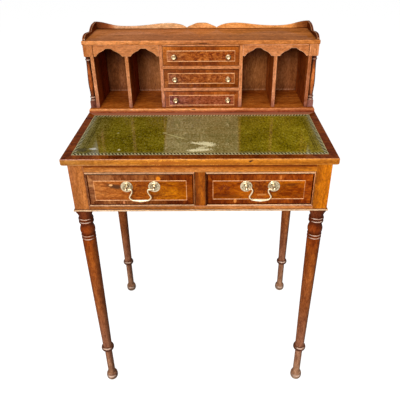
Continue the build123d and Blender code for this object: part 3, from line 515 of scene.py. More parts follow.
@dataclass(frozen=True)
class GlazedLeather:
    """Old green leather under a glaze, with a tooled roll along its edges, scuffed and scratched, and a
    painted reflection across its middle.
    """

    half_width: float
    front: float
    back: float
    rim: float = 0.0018
    roll_width: float = 0.0090
    roll_repeat: float = 0.0078
    soft_edge: float = 0.0006
    inner_line: float = 0.0205
    line_gap: float = 0.0042
    line_width: float = 0.0012
    # Place, half width and taper of the painted reflection across the middle.
    reflection_middle: float = 0.003
    reflection_half: float = 0.0925
    reflection_taper: float = 0.037
    deep: Triple = (0.062, 0.042, 0.001)
    green: Triple = (0.150, 0.108, 0.002)
    pale_green: Triple = (0.280, 0.215, 0.016)
    # Colours of the painted reflection across the middle.
    reflection_deep: Triple = (0.130, 0.108, 0.022)
    wear_and_sheen: Triple = (0.225, 0.180, 0.058)
    reflection_pale: Triple = (0.380, 0.320, 0.140)
    bare: Triple = (0.78, 0.70, 0.40)
    scuff: Triple = (0.50, 0.44, 0.17)
    soot: Triple = (0.022, 0.017, 0.004)

    def marks(self) -> tuple[Mark, ...]:
        """The scratches and stains, where the sitter's things have scuffed it."""
        return marks_on(
            Grain.UPRIGHT,
            0.76,
            0.01,
            (0.017, -0.1465, 0.020, 0.0110, self.bare, 0.95, -24, 1.6, 300, 0.9),
            (-0.008, -0.1420, 0.016, 0.0050, self.bare, 0.9, -16, 2.6, 330, 0.8),
            (0.000, -0.1790, 0.026, 0.0075, self.bare, 0.95, 6, 1.7, 300, 0.9),
            (-0.018, -0.1830, 0.009, 0.0070, self.bare, 0.9, 0, 2.0, 330, 0.7),
            (0.006, -0.1650, 0.012, 0.0050, self.bare, 0.7, 20, 2.6, 330, 0.8),
            (-0.060, -0.101, 0.038, 0.0026, self.scuff, 0.95, -34, 0.5, 300, 0.5),
            (-0.089, -0.079, 0.008, 0.0050, self.scuff, 0.75, -20, 0.8, 300, 0.4),
            (-0.247, -0.171, 0.011, 0.0060, (0.60, 0.58, 0.50), 0.8, 0, 1.0, 300, 0.5),
            (-0.186, -0.177, 0.004, 0.0050, self.bare, 0.8, 0, 0.8, 300, 0.5),
            (-0.205, -0.078, 0.004, 0.0040, self.scuff, 0.7, 0, 0.8, 300, 0.5),
            (-0.272, -0.176, 0.018, 0.0150, (0.060, 0.050, 0.025), 0.7, 0, 0.7, 150, 0.3),
            (-0.050, -0.060, 0.012, 0.0140, (0.36, 0.31, 0.13), 0.6, 0, 0.7, 150, 0.2),
            (-0.040, -0.145, 0.014, 0.0100, (0.34, 0.29, 0.12), 0.4, 0, 0.7, 150, 0.2),
        )

    def tooling(self, paint: Paint) -> tuple[Grey, Grey, Grey]:
        """Draws the tooled roll and lines.

        Args:
            paint: the leather's material.

        Returns:
            How far each spot is pressed dark, is gilt pale, and lies in the patchy pale band.
        """
        x, y, _ = paint.axes()
        from_side = self.half_width - abs(x)
        from_end = (y - self.front).by("MINIMUM", self.back - y)
        inward = from_side.by("MINIMUM", from_end)
        at_side = from_side.by("LESS_THAN", from_end)
        along = at_side * y + (1.0 - at_side) * x + inward * 0.5
        step = ((along + 1.0) / self.roll_repeat).by("FRACT")
        leaf = step.mask(0.00, 0.10) * step.mask(0.68, 0.58)
        roll = inward.mask(self.roll_width, self.roll_width - self.soft_edge)
        wear_and_sheen = paint.noise(60.0, 4.0, 3, 0.6).mask(0.10, 0.34)
        dark = leaf * (inward.mask(self.rim, self.rim + self.soft_edge) * roll) * wear_and_sheen
        flecks = paint.noise(300.0, 2.0, 3, 0.7).mask(0.38, 0.54)
        gilt = roll * (1.0 - leaf) * flecks.mask(-0.3, 1.0) * 0.72
        rim = inward.mask(self.rim, self.rim * 0.6) * flecks.mask(-0.2, 1.0) * 0.6
        beside = (from_end - from_side).mask(-0.03, 0.01)
        for line in (self.inner_line, self.inner_line + self.line_gap):
            drawn = abs(inward - line).mask(self.line_width, self.line_width * 0.5) * wear_and_sheen
            dark = dark.by("MAXIMUM", drawn * 0.6 * beside)
        patches = paint.noise(220.0, 7.0, 3, 0.7).mask(0.40, 0.60)
        return dark, gilt.by("MAXIMUM", rim), inward.mask(self.inner_line, self.roll_width) * patches

    def ground(self, paint: Paint) -> tuple[Socket, Grey]:
        """Mottles the green, and paints a grey and brown reflection across the middle.

        Args:
            paint: the leather's material.

        Returns:
            The colour, and the mottling's value.
        """
        broad = paint.noise(14.0, 0.0, 4, 0.6, 0.6)
        mottle = paint.noise((210.0, 105.0, 150.0), 0.0, 6, 0.75, 0.5)
        tone = mottle * 0.75 + broad * 0.25
        colour = paint.ramp(tone, (0.40, self.deep), (0.5, self.green), (0.61, self.pale_green))
        # Greyer and paler at the left end, a painted sheen; brighter over the right half.
        colour = sideways(
            (-0.290, 0.80, 0.85, 4.0), (-0.245, 0.88, 0.88, 2.5), (-0.225, 0.95, 0.97, 1.0),
            (0.100, 1.10, 1.08, 1.0), (0.170, 1.32, 1.32, 1.0), (0.240, 1.32, 1.32, 1.0),
            (0.290, 0.90, 0.85, 1.0),
        ).lay(paint, colour)
        # Painted reflection of the nest of small drawers: a grey and brown band across the middle.
        rubbed_and_lit = paint.ramp(tone, (0.40, self.reflection_deep), (0.5, self.wear_and_sheen), (0.61, self.reflection_pale))
        x, y, _ = paint.axes()
        beside = abs(x - self.reflection_middle) - y * self.reflection_taper
        middle = beside.mask(self.reflection_half + 0.003, self.reflection_half - 0.003)
        colour = paint.blend(colour, rubbed_and_lit, middle * 0.9)
        specks = paint.noise((330.0, 165.0, 330.0), 5.0, 3, 0.7).mask(0.58, 0.68)
        return paint.blend(colour, (0.40, 0.34, 0.11), specks * 0.4), mottle

    def material(self) -> Finish:
        """Paints the leather.

        Returns:
            The material.
        """
        paint = Paint("green_leather", coat_roughness=0.05, sheen=0.0)
        colour, mottle = self.ground(paint)
        dark, gilt, band = self.tooling(paint)
        for over, share in (((0.34, 0.31, 0.16), band * 0.35), (self.bare, gilt * 0.8), (self.soot, dark)):
            colour = paint.blend(colour, over, share)
        for mark in self.marks():
            colour = mark.lay(paint, colour)
        glaze = abs(paint.axes()[0]).mask(0.256, 0.240) * 0.6 + 0.04
        feed(paint.shader, {"Coat Weight": glaze})
        paint.relief(mottle * 0.5 - dark, 0.06, 0.0004)
        return paint.coloured(colour, mottle * 0.2 + 0.4)


@dataclass(frozen=True)
class OldBrass:
    """Lacquered brass, pale where handling has polished it, dark with patina in its hollows, and darker on
    its right side as painted shade.
    """

    name: str
    bright: Triple
    dull: Triple
    roughness: float
    # Patina in the hollows, also used for the painted shade on the right side.
    patina_and_shade: Triple = (0.030, 0.020, 0.008)

    @cache
    def material(self) -> Finish:
        """Paints the brass, once.

        Returns:
            The material.
        """
        paint = Paint(self.name)
        clouds = paint.noise(210.0, 0.0, 4, 0.65)
        colour = paint.blend(self.bright, self.dull, clouds.mask(0.42, 0.62))
        # Painted shade: darker where it faces right.
        colour = paint.blend(colour, self.patina_and_shade, paint.axes("Normal")[0].mask(0.12, 0.75) * 0.75)
        colour = paint.blend(colour, self.patina_and_shade, paint.crevices(0.005, 0.22, 0.66))
        paint.relief(paint.noise(900.0, 0.0, 2), 0.06, 0.0002)
        return paint.coloured(colour, clouds * 0.25 + (self.roughness - 0.12), metallic=1.0)


@dataclass(frozen=True)
class DullSteel:
    """Plain steel of screws and bolts, a little tarnished."""

    clean: Triple = (0.42, 0.42, 0.43)
    stained: Triple = (0.16, 0.12, 0.09)

    @cache
    def material(self) -> Finish:
        """Paints the steel, once.

        Returns:
            The material.
        """
        paint = Paint("dull_steel")
        clouds = paint.noise(400.0, 0.0, 4, 0.6)
        paint.relief(clouds, 0.1, 0.0002)
        colour = paint.blend(self.clean, self.stained, clouds.mask(0.45, 0.7))
        return paint.coloured(colour, clouds * 0.2 + 0.3, metallic=1.0)


# Pale tone of arrises, from wear and from the highlights painted on them.
PALE_WEAR_AND_HIGHLIGHT = (0.94, 0.5, 0.24)
KNOT = (0.05, 0.01, 0.004)
# In the sideways fades below, a left end made greyer and paler is a painted sheen. Here the left post comes
# out greyer and paler, and the right post more orange.
FRAME_WOOD = PolishedWood(
    "frame_wood", (0.29, 0.082, 0.008), (0.44, 0.135, 0.014), (0.56, 0.19, 0.026),
    fades=(
        sideways(
            (-0.3, 0.78, 0.8, 1.9), (-0.284, 0.8, 0.8, 1.5), (-0.274, 0.94, 0.98, 1.8),
            (-0.269, 0.92, 0.94, 1.5), (-0.265, 0.6, 0.52, 0.8), (0.265, 0.88, 0.78, 0.3),
            (0.272, 1.24, 1.12, 0.15), (0.3, 1.33, 1.2, 0.15),
        ),
    ),
)
# Painted shadow under the lipping: darker towards the top; and a painted highlight along the lower arris.
TOP_RAIL_WOOD = replace(
    FRAME_WOOD, name="top_rail_wood",
    fades=(
        upwards(
            (0.72, 0.72, 0.62, 0.6), (0.722, 1.3, 1.55, 3.2), (0.7255, 1.1, 1.16, 2.0),
            (0.729, 1.05, 1.06, 1.5), (0.7315, 0.9, 0.82, 0.8), (0.7335, 0.5, 0.34, 0.3),
            (0.742, 0.33, 0.23, 0.2),
        ),
        sideways((-0.26, 0.9, 0.96, 1.1), (0.0, 0.94, 0.92, 0.8), (0.26, 1.02, 0.94, 0.25)),
    ),
)
# Paler towards the right end: a painted highlight.
LOW_RAIL_WOOD = replace(
    FRAME_WOOD, name="low_rail_wood",
    fades=(
        sideways(
            (-0.26, 0.7, 0.72, 1.3), (-0.05, 0.8, 0.8, 1.3), (0.03, 1.12, 1.27, 2.6),
            (0.26, 1.32, 1.5, 3.4),
        ),
    ),
)
# Paler down the middle, with painted shade at the edges beside the drawers' beads.
STILE_WOOD = PolishedWood(
    "stile_wood", (0.17, 0.036, 0.003), (0.27, 0.066, 0.006), (0.4, 0.115, 0.012),
    fades=(
        sideways(
            (-0.012, 0.8, 0.66, 0.3), (-0.006, 1.1, 1.05, 0.5), (0.002, 1.62, 1.72, 0.8),
            (0.006, 1.6, 1.7, 0.8), (0.012, 0.95, 0.85, 0.5),
        ),
    ),
)
# Upward fade: painted highlights along the lipping's top and its lower nose, darker between. Sideways fade:
# greyer at the left end, a painted sheen.
EDGE_WOOD = PolishedWood(
    "edge_wood", (0.48, 0.15, 0.01), (0.66, 0.235, 0.02), (0.78, 0.31, 0.04),
    fades=(
        sideways(
            (-0.31, 0.66, 0.8, 1.8), (-0.19, 0.86, 0.94, 1.4), (-0.08, 0.95, 1.0, 0.9),
            (0.05, 0.96, 0.97, 0.85), (0.31, 0.82, 0.8, 0.7),
        ),
        upwards(
            (0.742, 1.4, 1.55, 3.0), (0.745, 1.22, 1.27, 2.0), (0.7475, 0.82, 0.72, 0.6),
            (0.751, 0.9, 0.84, 0.7), (0.755, 1.04, 1.0, 1.1), (0.7575, 1.24, 1.34, 2.2),
            (0.76, 1.1, 1.15, 2.2),
        ),
    ),
    marks=marks_on(
        Grain.FRONT_TO_BACK, -0.2265, 0.01,
        (0.1136, 0.754, 0.0056, 0.0026, KNOT, 0.95, -25, 0.5, 300, 0.6),
        (0.085, 0.7475, 0.0075, 0.0024, (0.22, 0.05, 0.01), 0.85, 0, 0.9, 300, 0.5),
        (-0.075, 0.75, 0.05, 0.006, (0.36, 0.09, 0.01), 0.8, 0, 2.0, 330, 0.8),
        (0.02, 0.749, 0.065, 0.005, (0.42, 0.12, 0.01), 0.7, 0, 2.0, 330, 0.8),
    ),
)
# Painted shade: darker on its right side, and over the top turnings under the aprons. The fade also runs
# paler and greyer to the foot, darker over the anklet, and paler over the swell.
LEG_WOOD = PolishedWood(
    "leg_wood", (0.17, 0.043, 0.008), (0.28, 0.082, 0.016), (0.39, 0.128, 0.027), corner_shade=0.9, polish=0.06,
    flank_shade=0.55,
    fades=(
        upwards(
            (0.0, 1.4, 3.2, 10.0), (0.016, 0.95, 1.8, 6.0), (0.026, 1.35, 2.3, 6.5),
            (0.1235, 1.22, 1.8, 5.0), (0.1262, 0.42, 0.46, 1.1), (0.1405, 0.42, 0.46, 1.1),
            (0.1425, 1.18, 1.62, 4.4), (0.3, 1.08, 1.06, 1.4), (0.48, 1.12, 0.88, 0.5),
            (0.526, 0.98, 0.6, 0.2), (0.545, 0.5, 0.26, 0.1), (0.557, 0.98, 0.62, 0.4),
            (0.566, 0.8, 0.48, 0.3), (0.574, 0.44, 0.25, 0.2), (0.592, 0.4, 0.25, 0.2),
            (0.6, 0.5, 0.34, 0.4), (0.616, 0.42, 0.3, 0.4),
        ),
    ),
)
# Pale crests of turned work: a painted highlight, with painted shade on both sides.
CREST_HIGHLIGHT_WOOD = PolishedWood(
    "crest_highlight_wood", (0.44, 0.24, 0.16), (0.66, 0.44, 0.33), (0.82, 0.62, 0.52), flank_shade=0.7, both_flanks=True,
)
TOP_WOOD = PolishedWood("top_wood", (0.09, 0.015, 0.002), (0.165, 0.031, 0.003), (0.26, 0.06, 0.006))
# Greyer and paler at the left end, a painted sheen.
BAND_WOOD = PolishedWood(
    "band_wood", (0.12, 0.019, 0.001), (0.23, 0.049, 0.004), (0.36, 0.098, 0.009), lengths=22.0,
    polish=0.05,
    fades=(
        sideways(
            (-0.26, 1.0, 1.6, 7.0), (-0.16, 1.0, 1.4, 4.5), (-0.1, 0.95, 1.2, 2.2),
            (-0.05, 0.84, 0.76, 0.6), (-0.02, 0.74, 0.58, 0.2), (0.02, 0.95, 0.8, 0.3),
            (0.11, 1.1, 1.05, 1.0), (0.22, 1.15, 1.0, 0.8), (0.26, 1.3, 1.1, 0.4),
        ),
        upwards(
            (0.636, 0.84, 0.74, 0.65), (0.6455, 0.94, 0.88, 0.75), (0.652, 1.0, 1.0, 1.0),
            (0.714, 1.15, 1.15, 1.1),
        ),
    ),
    marks=marks_on(
        Grain.FRONT_TO_BACK, -0.2125, 0.01,
        (-0.0963, 0.7035, 0.0062, 0.0064, (0.72, 0.21, 0.01), 0.95, 0, 0.35, 260, 0.7),
        (-0.1805, 0.64, 0.0032, 0.0065, (0.62, 0.22, 0.08), 0.85, 0, 0.3, 260, 0.6),
        (0.1851, 0.7055, 0.0036, 0.007, (0.62, 0.18, 0.03), 0.9, 0, 0.3, 260, 0.6),
        (0.0812, 0.6435, 0.0044, 0.0066, (0.66, 0.22, 0.04), 0.9, 0, 0.3, 260, 0.6),
    ),
)
FIELD_WOOD = PolishedWood(
    "field_wood", (0.19, 0.036, 0.002), (0.37, 0.1, 0.006), (0.55, 0.18, 0.013), streaks=24.0,
    drawn_out=4.0, swirl=1.0, mottle=190.0, burr=0.5, dirt_and_shade=(0.08, 0.014, 0.002), polish=0.05,
    fades=(
        sideways(
            (-0.25, 0.92, 1.02, 3.6), (-0.215, 1.04, 1.1, 3.2), (-0.18, 1.0, 0.98, 2.2),
            (-0.155, 0.98, 0.88, 1.2), (-0.115, 0.98, 0.88, 0.8), (-0.09, 1.02, 0.98, 0.4),
            (-0.06, 1.0, 0.95, 0.2), (-0.03, 0.88, 0.7, 0.1), (0.025, 0.6, 0.38, 0.1),
            (0.06, 0.78, 0.56, 0.2), (0.095, 0.92, 0.72, 0.3), (0.14, 0.84, 0.62, 0.5),
            (0.175, 1.05, 0.94, 0.3), (0.25, 1.1, 0.84, 0.1),
        ),
        upwards((0.648, 0.86, 0.8, 0.8), (0.66, 1.0, 1.0, 1.0), (0.697, 0.95, 0.92, 0.9)),
    ),
    marks=marks_on(
        Grain.FRONT_TO_BACK, -0.2125, 0.01,
        (-0.198, 0.6835, 0.027, 0.01, (0.1, 0.034, 0.012), 1.0, 8, 0.5, 110, 0.3),
        (-0.174, 0.678, 0.012, 0.008, (0.1, 0.03, 0.01), 0.8, 14, 0.8, 140, 0.4),
        (-0.207, 0.687, 0.0055, 0.0032, (0.8, 0.42, 0.17), 0.95, 0, 0.4, 300, 0.6),
        (-0.136, 0.678, 0.03, 0.026, (0.1, 0.014, 0.002), 0.55, 0, 1.6, 240, 0.05),
        (-0.102, 0.664, 0.026, 0.018, (0.1, 0.014, 0.002), 0.6, 0, 2.2, 260, 0.1),
        (0.05, 0.68, 0.013, 0.005, (0.14, 0.02, 0.004), 0.85, -35, 2.2, 330, 0.7),
        (0.064, 0.678, 0.007, 0.004, (0.14, 0.02, 0.004), 0.85, -25, 2.0, 330, 0.7),
        (0.138, 0.682, 0.028, 0.023, (0.08, 0.01, 0.002), 0.65, 0, 1.8, 240, 0.05),
        (0.142, 0.6605, 0.018, 0.003, (0.6, 0.24, 0.06), 0.7, 0, 1.0, 200, 0.5),
        (0.212, 0.686, 0.034, 0.007, (0.1, 0.018, 0.002), 0.8, -5, 0.7, 70, 0.1),
        (0.232, 0.66, 0.03, 0.006, (0.17, 0.037, 0.003), 0.6, -8, 0.7, 70, 0.1),
        (0.06, 0.656, 0.05, 0.008, (0.11, 0.022, 0.002), 0.6, 0, 1.0, 120, 0.3),
    ),
)
BURR_WOOD = PolishedWood(
    "burr_wood", (0.19, 0.032, 0.003), (0.41, 0.106, 0.011), (0.6, 0.195, 0.028), streaks=90.0,
    drawn_out=1.3, swirl=2.0, burr=0.55, mottle=260.0, dirt_and_shade=(0.07, 0.014, 0.003),
    fades=(
        upwards(
            (0.778, 0.74, 0.7, 2.2), (0.805, 0.84, 0.78, 2.2), (0.84, 1.02, 1.06, 1.8),
            (0.925, 1.05, 1.02, 1.1),
        ),
        sideways(
            (-0.088, 0.82, 0.95, 2.4), (-0.06, 0.85, 0.95, 1.6), (-0.03, 1.0, 1.0, 1.0),
            (0.088, 0.95, 0.92, 1.0),
        ),
    ),
)
SMALL_BAND_WOOD = PolishedWood(
    "small_band_wood", (0.16, 0.032, 0.004), (0.27, 0.06, 0.007), (0.37, 0.1, 0.013), lengths=18.0,
    fades=(
        upwards(
            (0.772, 1.0, 1.0, 1.6), (0.81, 1.25, 1.2, 1.5), (0.83, 1.0, 1.0, 0.9), (0.87, 1.0, 0.98, 0.9),
            (0.9, 1.05, 0.98, 0.7), (0.922, 1.3, 1.28, 0.9), (0.936, 1.55, 1.6, 1.1),
        ),
        sideways(
            (-0.098, 1.25, 1.6, 3.0), (-0.075, 1.15, 1.3, 2.0), (-0.04, 1.0, 1.0, 1.0),
            (0.08, 1.0, 1.0, 1.0), (0.098, 0.95, 1.0, 1.3),
        ),
    ),
)
STRING_WOOD = PolishedWood(
    "string_wood", (0.42, 0.15, 0.05), (0.58, 0.23, 0.08), (0.7, 0.32, 0.13), corner_shade=0.1,
)
# Near black: the cock bead's dark wood, with the shade on its flanks painted into it.
BEAD_WOOD = PolishedWood(
    "bead_wood", (0.045, 0.007, 0.001), (0.08, 0.013, 0.002), (0.13, 0.026, 0.004), polish=0.05,
)
# Pale crown of the cock bead: a painted highlight.
CROWN_HIGHLIGHT_WOOD = PolishedWood(
    "crown_highlight_wood", (0.95, 0.52, 0.26), (0.99, 0.58, 0.31), (1.0, 0.64, 0.37), polish=0.5, corner_shade=0.0,
)
# Paler upright strips of the cock bead: a painted highlight.
LIT_BEAD_WOOD = PolishedWood(
    "lit_bead_wood", (0.52, 0.17, 0.055), (0.64, 0.23, 0.08), (0.76, 0.3, 0.12), corner_shade=0.2,
)
# Painted shade on both sides. The fade makes the block darker and greyer, a painted reflection and shade, and
# darkens the column towards its top.
COLUMN_WOOD = PolishedWood(
    "column_wood", (0.22, 0.05, 0.01), (0.46, 0.13, 0.03), (0.66, 0.225, 0.065), flank_shade=0.92,
    both_flanks=True,
    fades=(
        upwards(
            (0.772, 0.5, 0.62, 1.9), (0.791, 0.5, 0.6, 1.6), (0.8035, 0.3, 0.32, 0.7),
            (0.812, 0.6, 0.52, 0.6), (0.838, 1.15, 1.0, 0.8), (0.87, 1.05, 0.92, 0.8),
            (0.89, 0.6, 0.5, 0.5), (0.898, 0.36, 0.32, 0.5), (0.91, 0.26, 0.22, 0.4),
        ),
    ),
)
UPPER_WOOD = PolishedWood(
    "upper_wood", (0.4, 0.12, 0.026), (0.54, 0.19, 0.05), (0.66, 0.255, 0.085),
    fades=(
        sideways(
            (-0.28, 0.9, 0.86, 0.9), (-0.1, 0.92, 0.92, 1.0), (0.1, 1.24, 1.32, 1.8),
            (0.28, 1.26, 1.36, 1.8),
        ),
    ),
)
# Darker and greyer towards the foot: a painted reflection and shade.
FRONT_WOOD = PolishedWood(
    "front_wood", (0.46, 0.155, 0.042), (0.6, 0.23, 0.072), (0.72, 0.31, 0.12),
    fades=(
        upwards(
            (0.772, 0.45, 0.42, 0.6), (0.785, 0.7, 0.68, 0.9), (0.805, 0.95, 0.95, 1.0),
            (0.86, 1.0, 1.0, 1.0), (0.91, 0.9, 0.85, 0.7),
        ),
        sideways(
            (-0.29, 1.3, 1.5, 2.3), (-0.19, 1.25, 1.38, 1.9), (-0.1, 1.16, 1.2, 1.8),
            (0.1, 1.34, 1.38, 1.8), (0.2, 1.28, 1.36, 2.0), (0.27, 0.9, 0.8, 1.0), (0.29, 0.7, 0.56, 0.6),
        ),
    ),
)
NEST_RAIL_WOOD = replace(
    FRONT_WOOD, name="nest_rail_wood",
    fades=(
        upwards(
            (0.815, 0.98, 0.94, 1.1), (0.828, 1.04, 1.02, 1.3), (0.877, 1.14, 1.12, 1.3),
            (0.938, 1.1, 1.05, 1.1),
        ),
    ),
)
# Near black: dark joints, and painted shadow lines inside the cock bead and along the top of the base bead.
JOINT_AND_SHADE_WOOD = PolishedWood(
    "joint_and_shade_wood", (0.03, 0.005, 0.001), (0.055, 0.009, 0.001), (0.09, 0.017, 0.002), polish=0.0,
)
INNER_WOOD = PolishedWood(
    "inner_wood", (0.15, 0.028, 0.004), (0.25, 0.052, 0.008), (0.37, 0.092, 0.016),
    fades=(
        sideways(
            (-0.28, 1.1, 1.1, 1.3), (0.0, 1.0, 1.0, 1.0), (0.185, 1.5, 1.6, 1.5), (0.28, 1.2, 1.2, 1.2),
        ),
    ),
)
FLOOR_WOOD = PolishedWood(
    "floor_wood", (0.29, 0.062, 0.006), (0.45, 0.115, 0.013), (0.6, 0.18, 0.026), polish=0.2,
)
SHELF_WOOD = PolishedWood(
    "shelf_wood", (0.46, 0.145, 0.03), (0.62, 0.215, 0.052), (0.76, 0.3, 0.09),
    fades=(
        sideways(
            (-0.305, 1.15, 1.25, 1.6), (-0.1, 1.15, 1.2, 1.4), (-0.04, 0.85, 0.82, 1.0),
            (0.04, 0.85, 0.82, 1.0), (0.1, 1.05, 1.05, 1.1), (0.305, 1.05, 1.05, 1.0),
        ),
    ),
    marks=marks_on(
        Grain.FRONT_TO_BACK, 0.0685, 0.012,
        (0.006, 0.942, 0.03, 0.0022, KNOT, 0.8, 3, 0.9, 260, 0.3),
        (-0.045, 0.94, 0.016, 0.0012, KNOT, 0.5, 0, 0.9, 260, 0.3),
    ),
)
# Paler and greyer over the back part, a painted reflection, with a painted shadow line where it meets the
# gallery.
SHELF_TOP_WOOD = PolishedWood(
    "shelf_top_wood", (0.25, 0.072, 0.012), (0.36, 0.108, 0.021), (0.46, 0.15, 0.036), polish=0.07,
    fades=(
        Fade(Grain.FRONT_TO_BACK, (
            (0.07, 0.95, 1.0, 1.1), (0.09, 1.25, 1.3, 1.2), (0.132, 1.3, 1.38, 1.3),
            (0.146, 1.46, 1.62, 1.9), (0.2135, 1.5, 1.66, 2.0), (0.217, 0.55, 0.5, 0.5),
        )),
        sideways(
            (-0.3, 0.95, 1.0, 1.3), (-0.1, 1.0, 1.0, 1.3), (0.0, 1.05, 1.0, 1.0), (0.1, 1.0, 1.0, 1.0),
            (0.3, 0.85, 0.82, 0.8),
        ),
    ),
)
# Painted shadow line along its foot; darker towards both ends; paler and greyer over its left part, a painted
# sheen.
GALLERY_WOOD = PolishedWood(
    "gallery_wood", (0.6, 0.205, 0.05), (0.78, 0.31, 0.085), (0.88, 0.4, 0.135), corner_shade=0.35,
    fades=(
        sideways(
            (-0.29, 0.16, 0.1, 0.1), (-0.264, 0.3, 0.2, 0.2), (-0.252, 0.6, 0.5, 0.6),
            (-0.238, 1.02, 1.4, 2.6), (-0.1, 1.08, 1.6, 2.8), (-0.03, 1.0, 1.2, 1.6),
            (0.03, 1.1, 1.16, 1.2), (0.252, 1.05, 1.05, 0.95), (0.268, 0.45, 0.34, 0.25),
            (0.29, 0.25, 0.16, 0.12),
        ),
        upwards((0.95, 0.35, 0.26, 0.2), (0.9512, 0.45, 0.34, 0.25), (0.9526, 1.0, 1.0, 1.0)),
    ),
)
# Pale all over: a painted highlight along the bead.
BASE_BEAD_WOOD = PolishedWood("base_bead_wood", (0.56, 0.33, 0.17), (0.66, 0.42, 0.24), (0.74, 0.51, 0.33))
BASE_WOOD = PolishedWood("base_wood", (0.44, 0.155, 0.044), (0.62, 0.25, 0.085), (0.74, 0.33, 0.13))
# The upward fade paints a highlight along the upper part of the board's front edge, and shade along its lower
# part.
UPPER_BASE_WOOD = replace(
    BASE_WOOD, name="upper_base_wood",
    fades=(
        upwards(
            (0.76, 0.68, 0.46, 0.55), (0.7625, 0.62, 0.4, 0.4), (0.7645, 0.66, 0.42, 0.35),
            (0.7665, 1.05, 0.9, 0.8), (0.769, 1.35, 1.35, 1.15), (0.772, 1.35, 1.4, 1.3),
        ),
        sideways(
            (-0.305, 0.92, 0.95, 1.1), (0.0, 0.9, 0.9, 1.0), (0.06, 0.8, 0.72, 0.9),
            (0.305, 0.78, 0.68, 0.85),
        ),
    ),
    marks=marks_on(
        Grain.FRONT_TO_BACK, 0.0615, 0.012,
        (-0.022, 0.7695, 0.008, 0.002, KNOT, 0.9, 0, 0.8, 400),
        (-0.036, 0.768, 0.0055, 0.0014, KNOT, 0.7, 0, 0.8, 400),
    ),
)
# Painted shadow of the arches: darker towards the top. Painted light on the left parts of the two right-hand
# pigeonholes, where the walls' shadows fall.
PANEL_WOOD = PolishedWood(
    "panel_wood", (0.24, 0.075, 0.018), (0.34, 0.112, 0.029), (0.44, 0.155, 0.046), streaks=60.0,
    drawn_out=6.0, mottle=170.0, polish=0.04, roughness=0.5, corner_shade=1.0,
    fades=(
        upwards(
            (0.775, 1.25, 1.5, 2.2), (0.779, 0.75, 0.7, 0.7), (0.8, 1, 1, 1), (0.87, 0.9, 0.88, 0.85),
            (0.93, 0.5, 0.45, 0.45),
        ),
        sideways(
            (-0.28, 0.7, 0.7, 0.9), (-0.19, 0.9, 0.98, 1.3), (-0.108, 1.14, 1.3, 1.5),
            (0.108, 1.55, 1.85, 2.2), (0.15, 1.1, 1.25, 1.4), (0.19, 0.85, 0.9, 1.0),
            (0.2, 1.55, 1.8, 2.3), (0.24, 1.02, 1.1, 1.4), (0.28, 0.75, 0.72, 0.8),
        ),
    ),
)
OUTER_WOOD = PolishedWood("outer_wood", (0.22, 0.062, 0.009), (0.33, 0.098, 0.015), (0.43, 0.14, 0.026))
LINING_WOOD = PolishedWood(
    "lining_wood", (0.3, 0.16, 0.07), (0.44, 0.26, 0.12), (0.54, 0.34, 0.17), polish=0.0, sheen=0.2,
    roughness=0.6, dirt_and_shade=(0.1, 0.05, 0.02),
)
PLATE_BRASS = OldBrass("plate_brass", (0.74, 0.61, 0.4), (0.4, 0.31, 0.17), roughness=0.3)
BAIL_BRASS = OldBrass("bail_brass", (0.9, 0.72, 0.46), (0.7, 0.48, 0.28), roughness=0.4)
KNOB_BRASS = OldBrass("knob_brass", (0.72, 0.52, 0.31), (0.42, 0.27, 0.13), roughness=0.42)
STEEL = DullSteel()


# Ways of working


def take(*pieces: Piece) -> None:
    """Leaves edit mode and selects some pieces or none, the first of them active.

    Args:
        pieces: what is selected.
    """
    if bpy.context.object and bpy.context.object.mode != "OBJECT":
        bpy.ops.object.mode_set(mode="OBJECT")
    bpy.ops.object.select_all(action="DESELECT")
    for piece in pieces:
        piece.select_set(True)
    if pieces:
        bpy.context.view_layer.objects.active = pieces[0]


def pick(piece: Piece, wanted: FaceTest) -> None:
    """Enters edit mode with just some faces selected.

    Args:
        piece: the piece that is edited.
        wanted: tells by its centre and normal whether a face is selected.
    """
    take(piece)
    bpy.context.tool_settings.mesh_select_mode = (False, False, True)
    bpy.ops.object.mode_set(mode="EDIT")
    bpy.ops.mesh.select_all(action="DESELECT")
    bpy.ops.object.mode_set(mode="OBJECT")
    for face in piece.data.polygons:
        face.select = wanted(face.center, face.normal)
    bpy.ops.object.mode_set(mode="EDIT")


def turn_outwards() -> None:
    """Selects the mesh that is being edited, turns its faces outwards, and leaves edit mode."""
    bpy.ops.mesh.select_all(action="SELECT")
    bpy.ops.mesh.normals_make_consistent(inside=False)
    bpy.ops.object.mode_set(mode="OBJECT")


def bake_place(piece: Piece) -> None:
    """Applies a piece's place, turn and scale to its mesh."""
    take(piece)
    bpy.ops.object.transform_apply(location=True, rotation=True, scale=True)


def modify(piece: Piece, kind: str, **settings: object) -> None:
    """Applies a modifier to a piece.

    Args:
        piece: the piece.
        kind: the modifier's type.
        settings: its properties.
    """
    take(piece)
    modifier = piece.modifiers.new(kind.lower(), kind)
    for key, value in settings.items():
        setattr(modifier, key, value)
    bpy.ops.object.modifier_apply(modifier=modifier.name)


def ease(piece: Piece, width: float, segments: int, sharper_than: float = 40.0, slot: int = -1) -> None:
    """Rounds the arrises of a piece.

    Args:
        piece: the piece.
        width: how wide the rounding is.
        segments: how many faces round it.
        sharper_than: only arrises that turn by more than so many degrees are rounded.
        slot: the material slot of the rounding, or -1 for that of the faces beside it.
    """
    limit = {"limit_method": "ANGLE", "angle_limit": math.radians(sharper_than)}
    modify(piece, "BEVEL", width=width, segments=segments, material=slot, **limit)


def settle(piece: Piece, smooth_angle: float = 40.0) -> None:
    """Applies a piece's place, turn and scale, and shades its curves smooth and its flats flat.

    Args:
        piece: the piece.
        smooth_angle: faces that turn less than this many degrees are shaded as one curve.
    """
    bake_place(piece)
    bpy.ops.object.shade_smooth_by_angle(angle=math.radians(smooth_angle))
    modify(piece, "WEIGHTED_NORMAL", weight=100, keep_sharp=True)


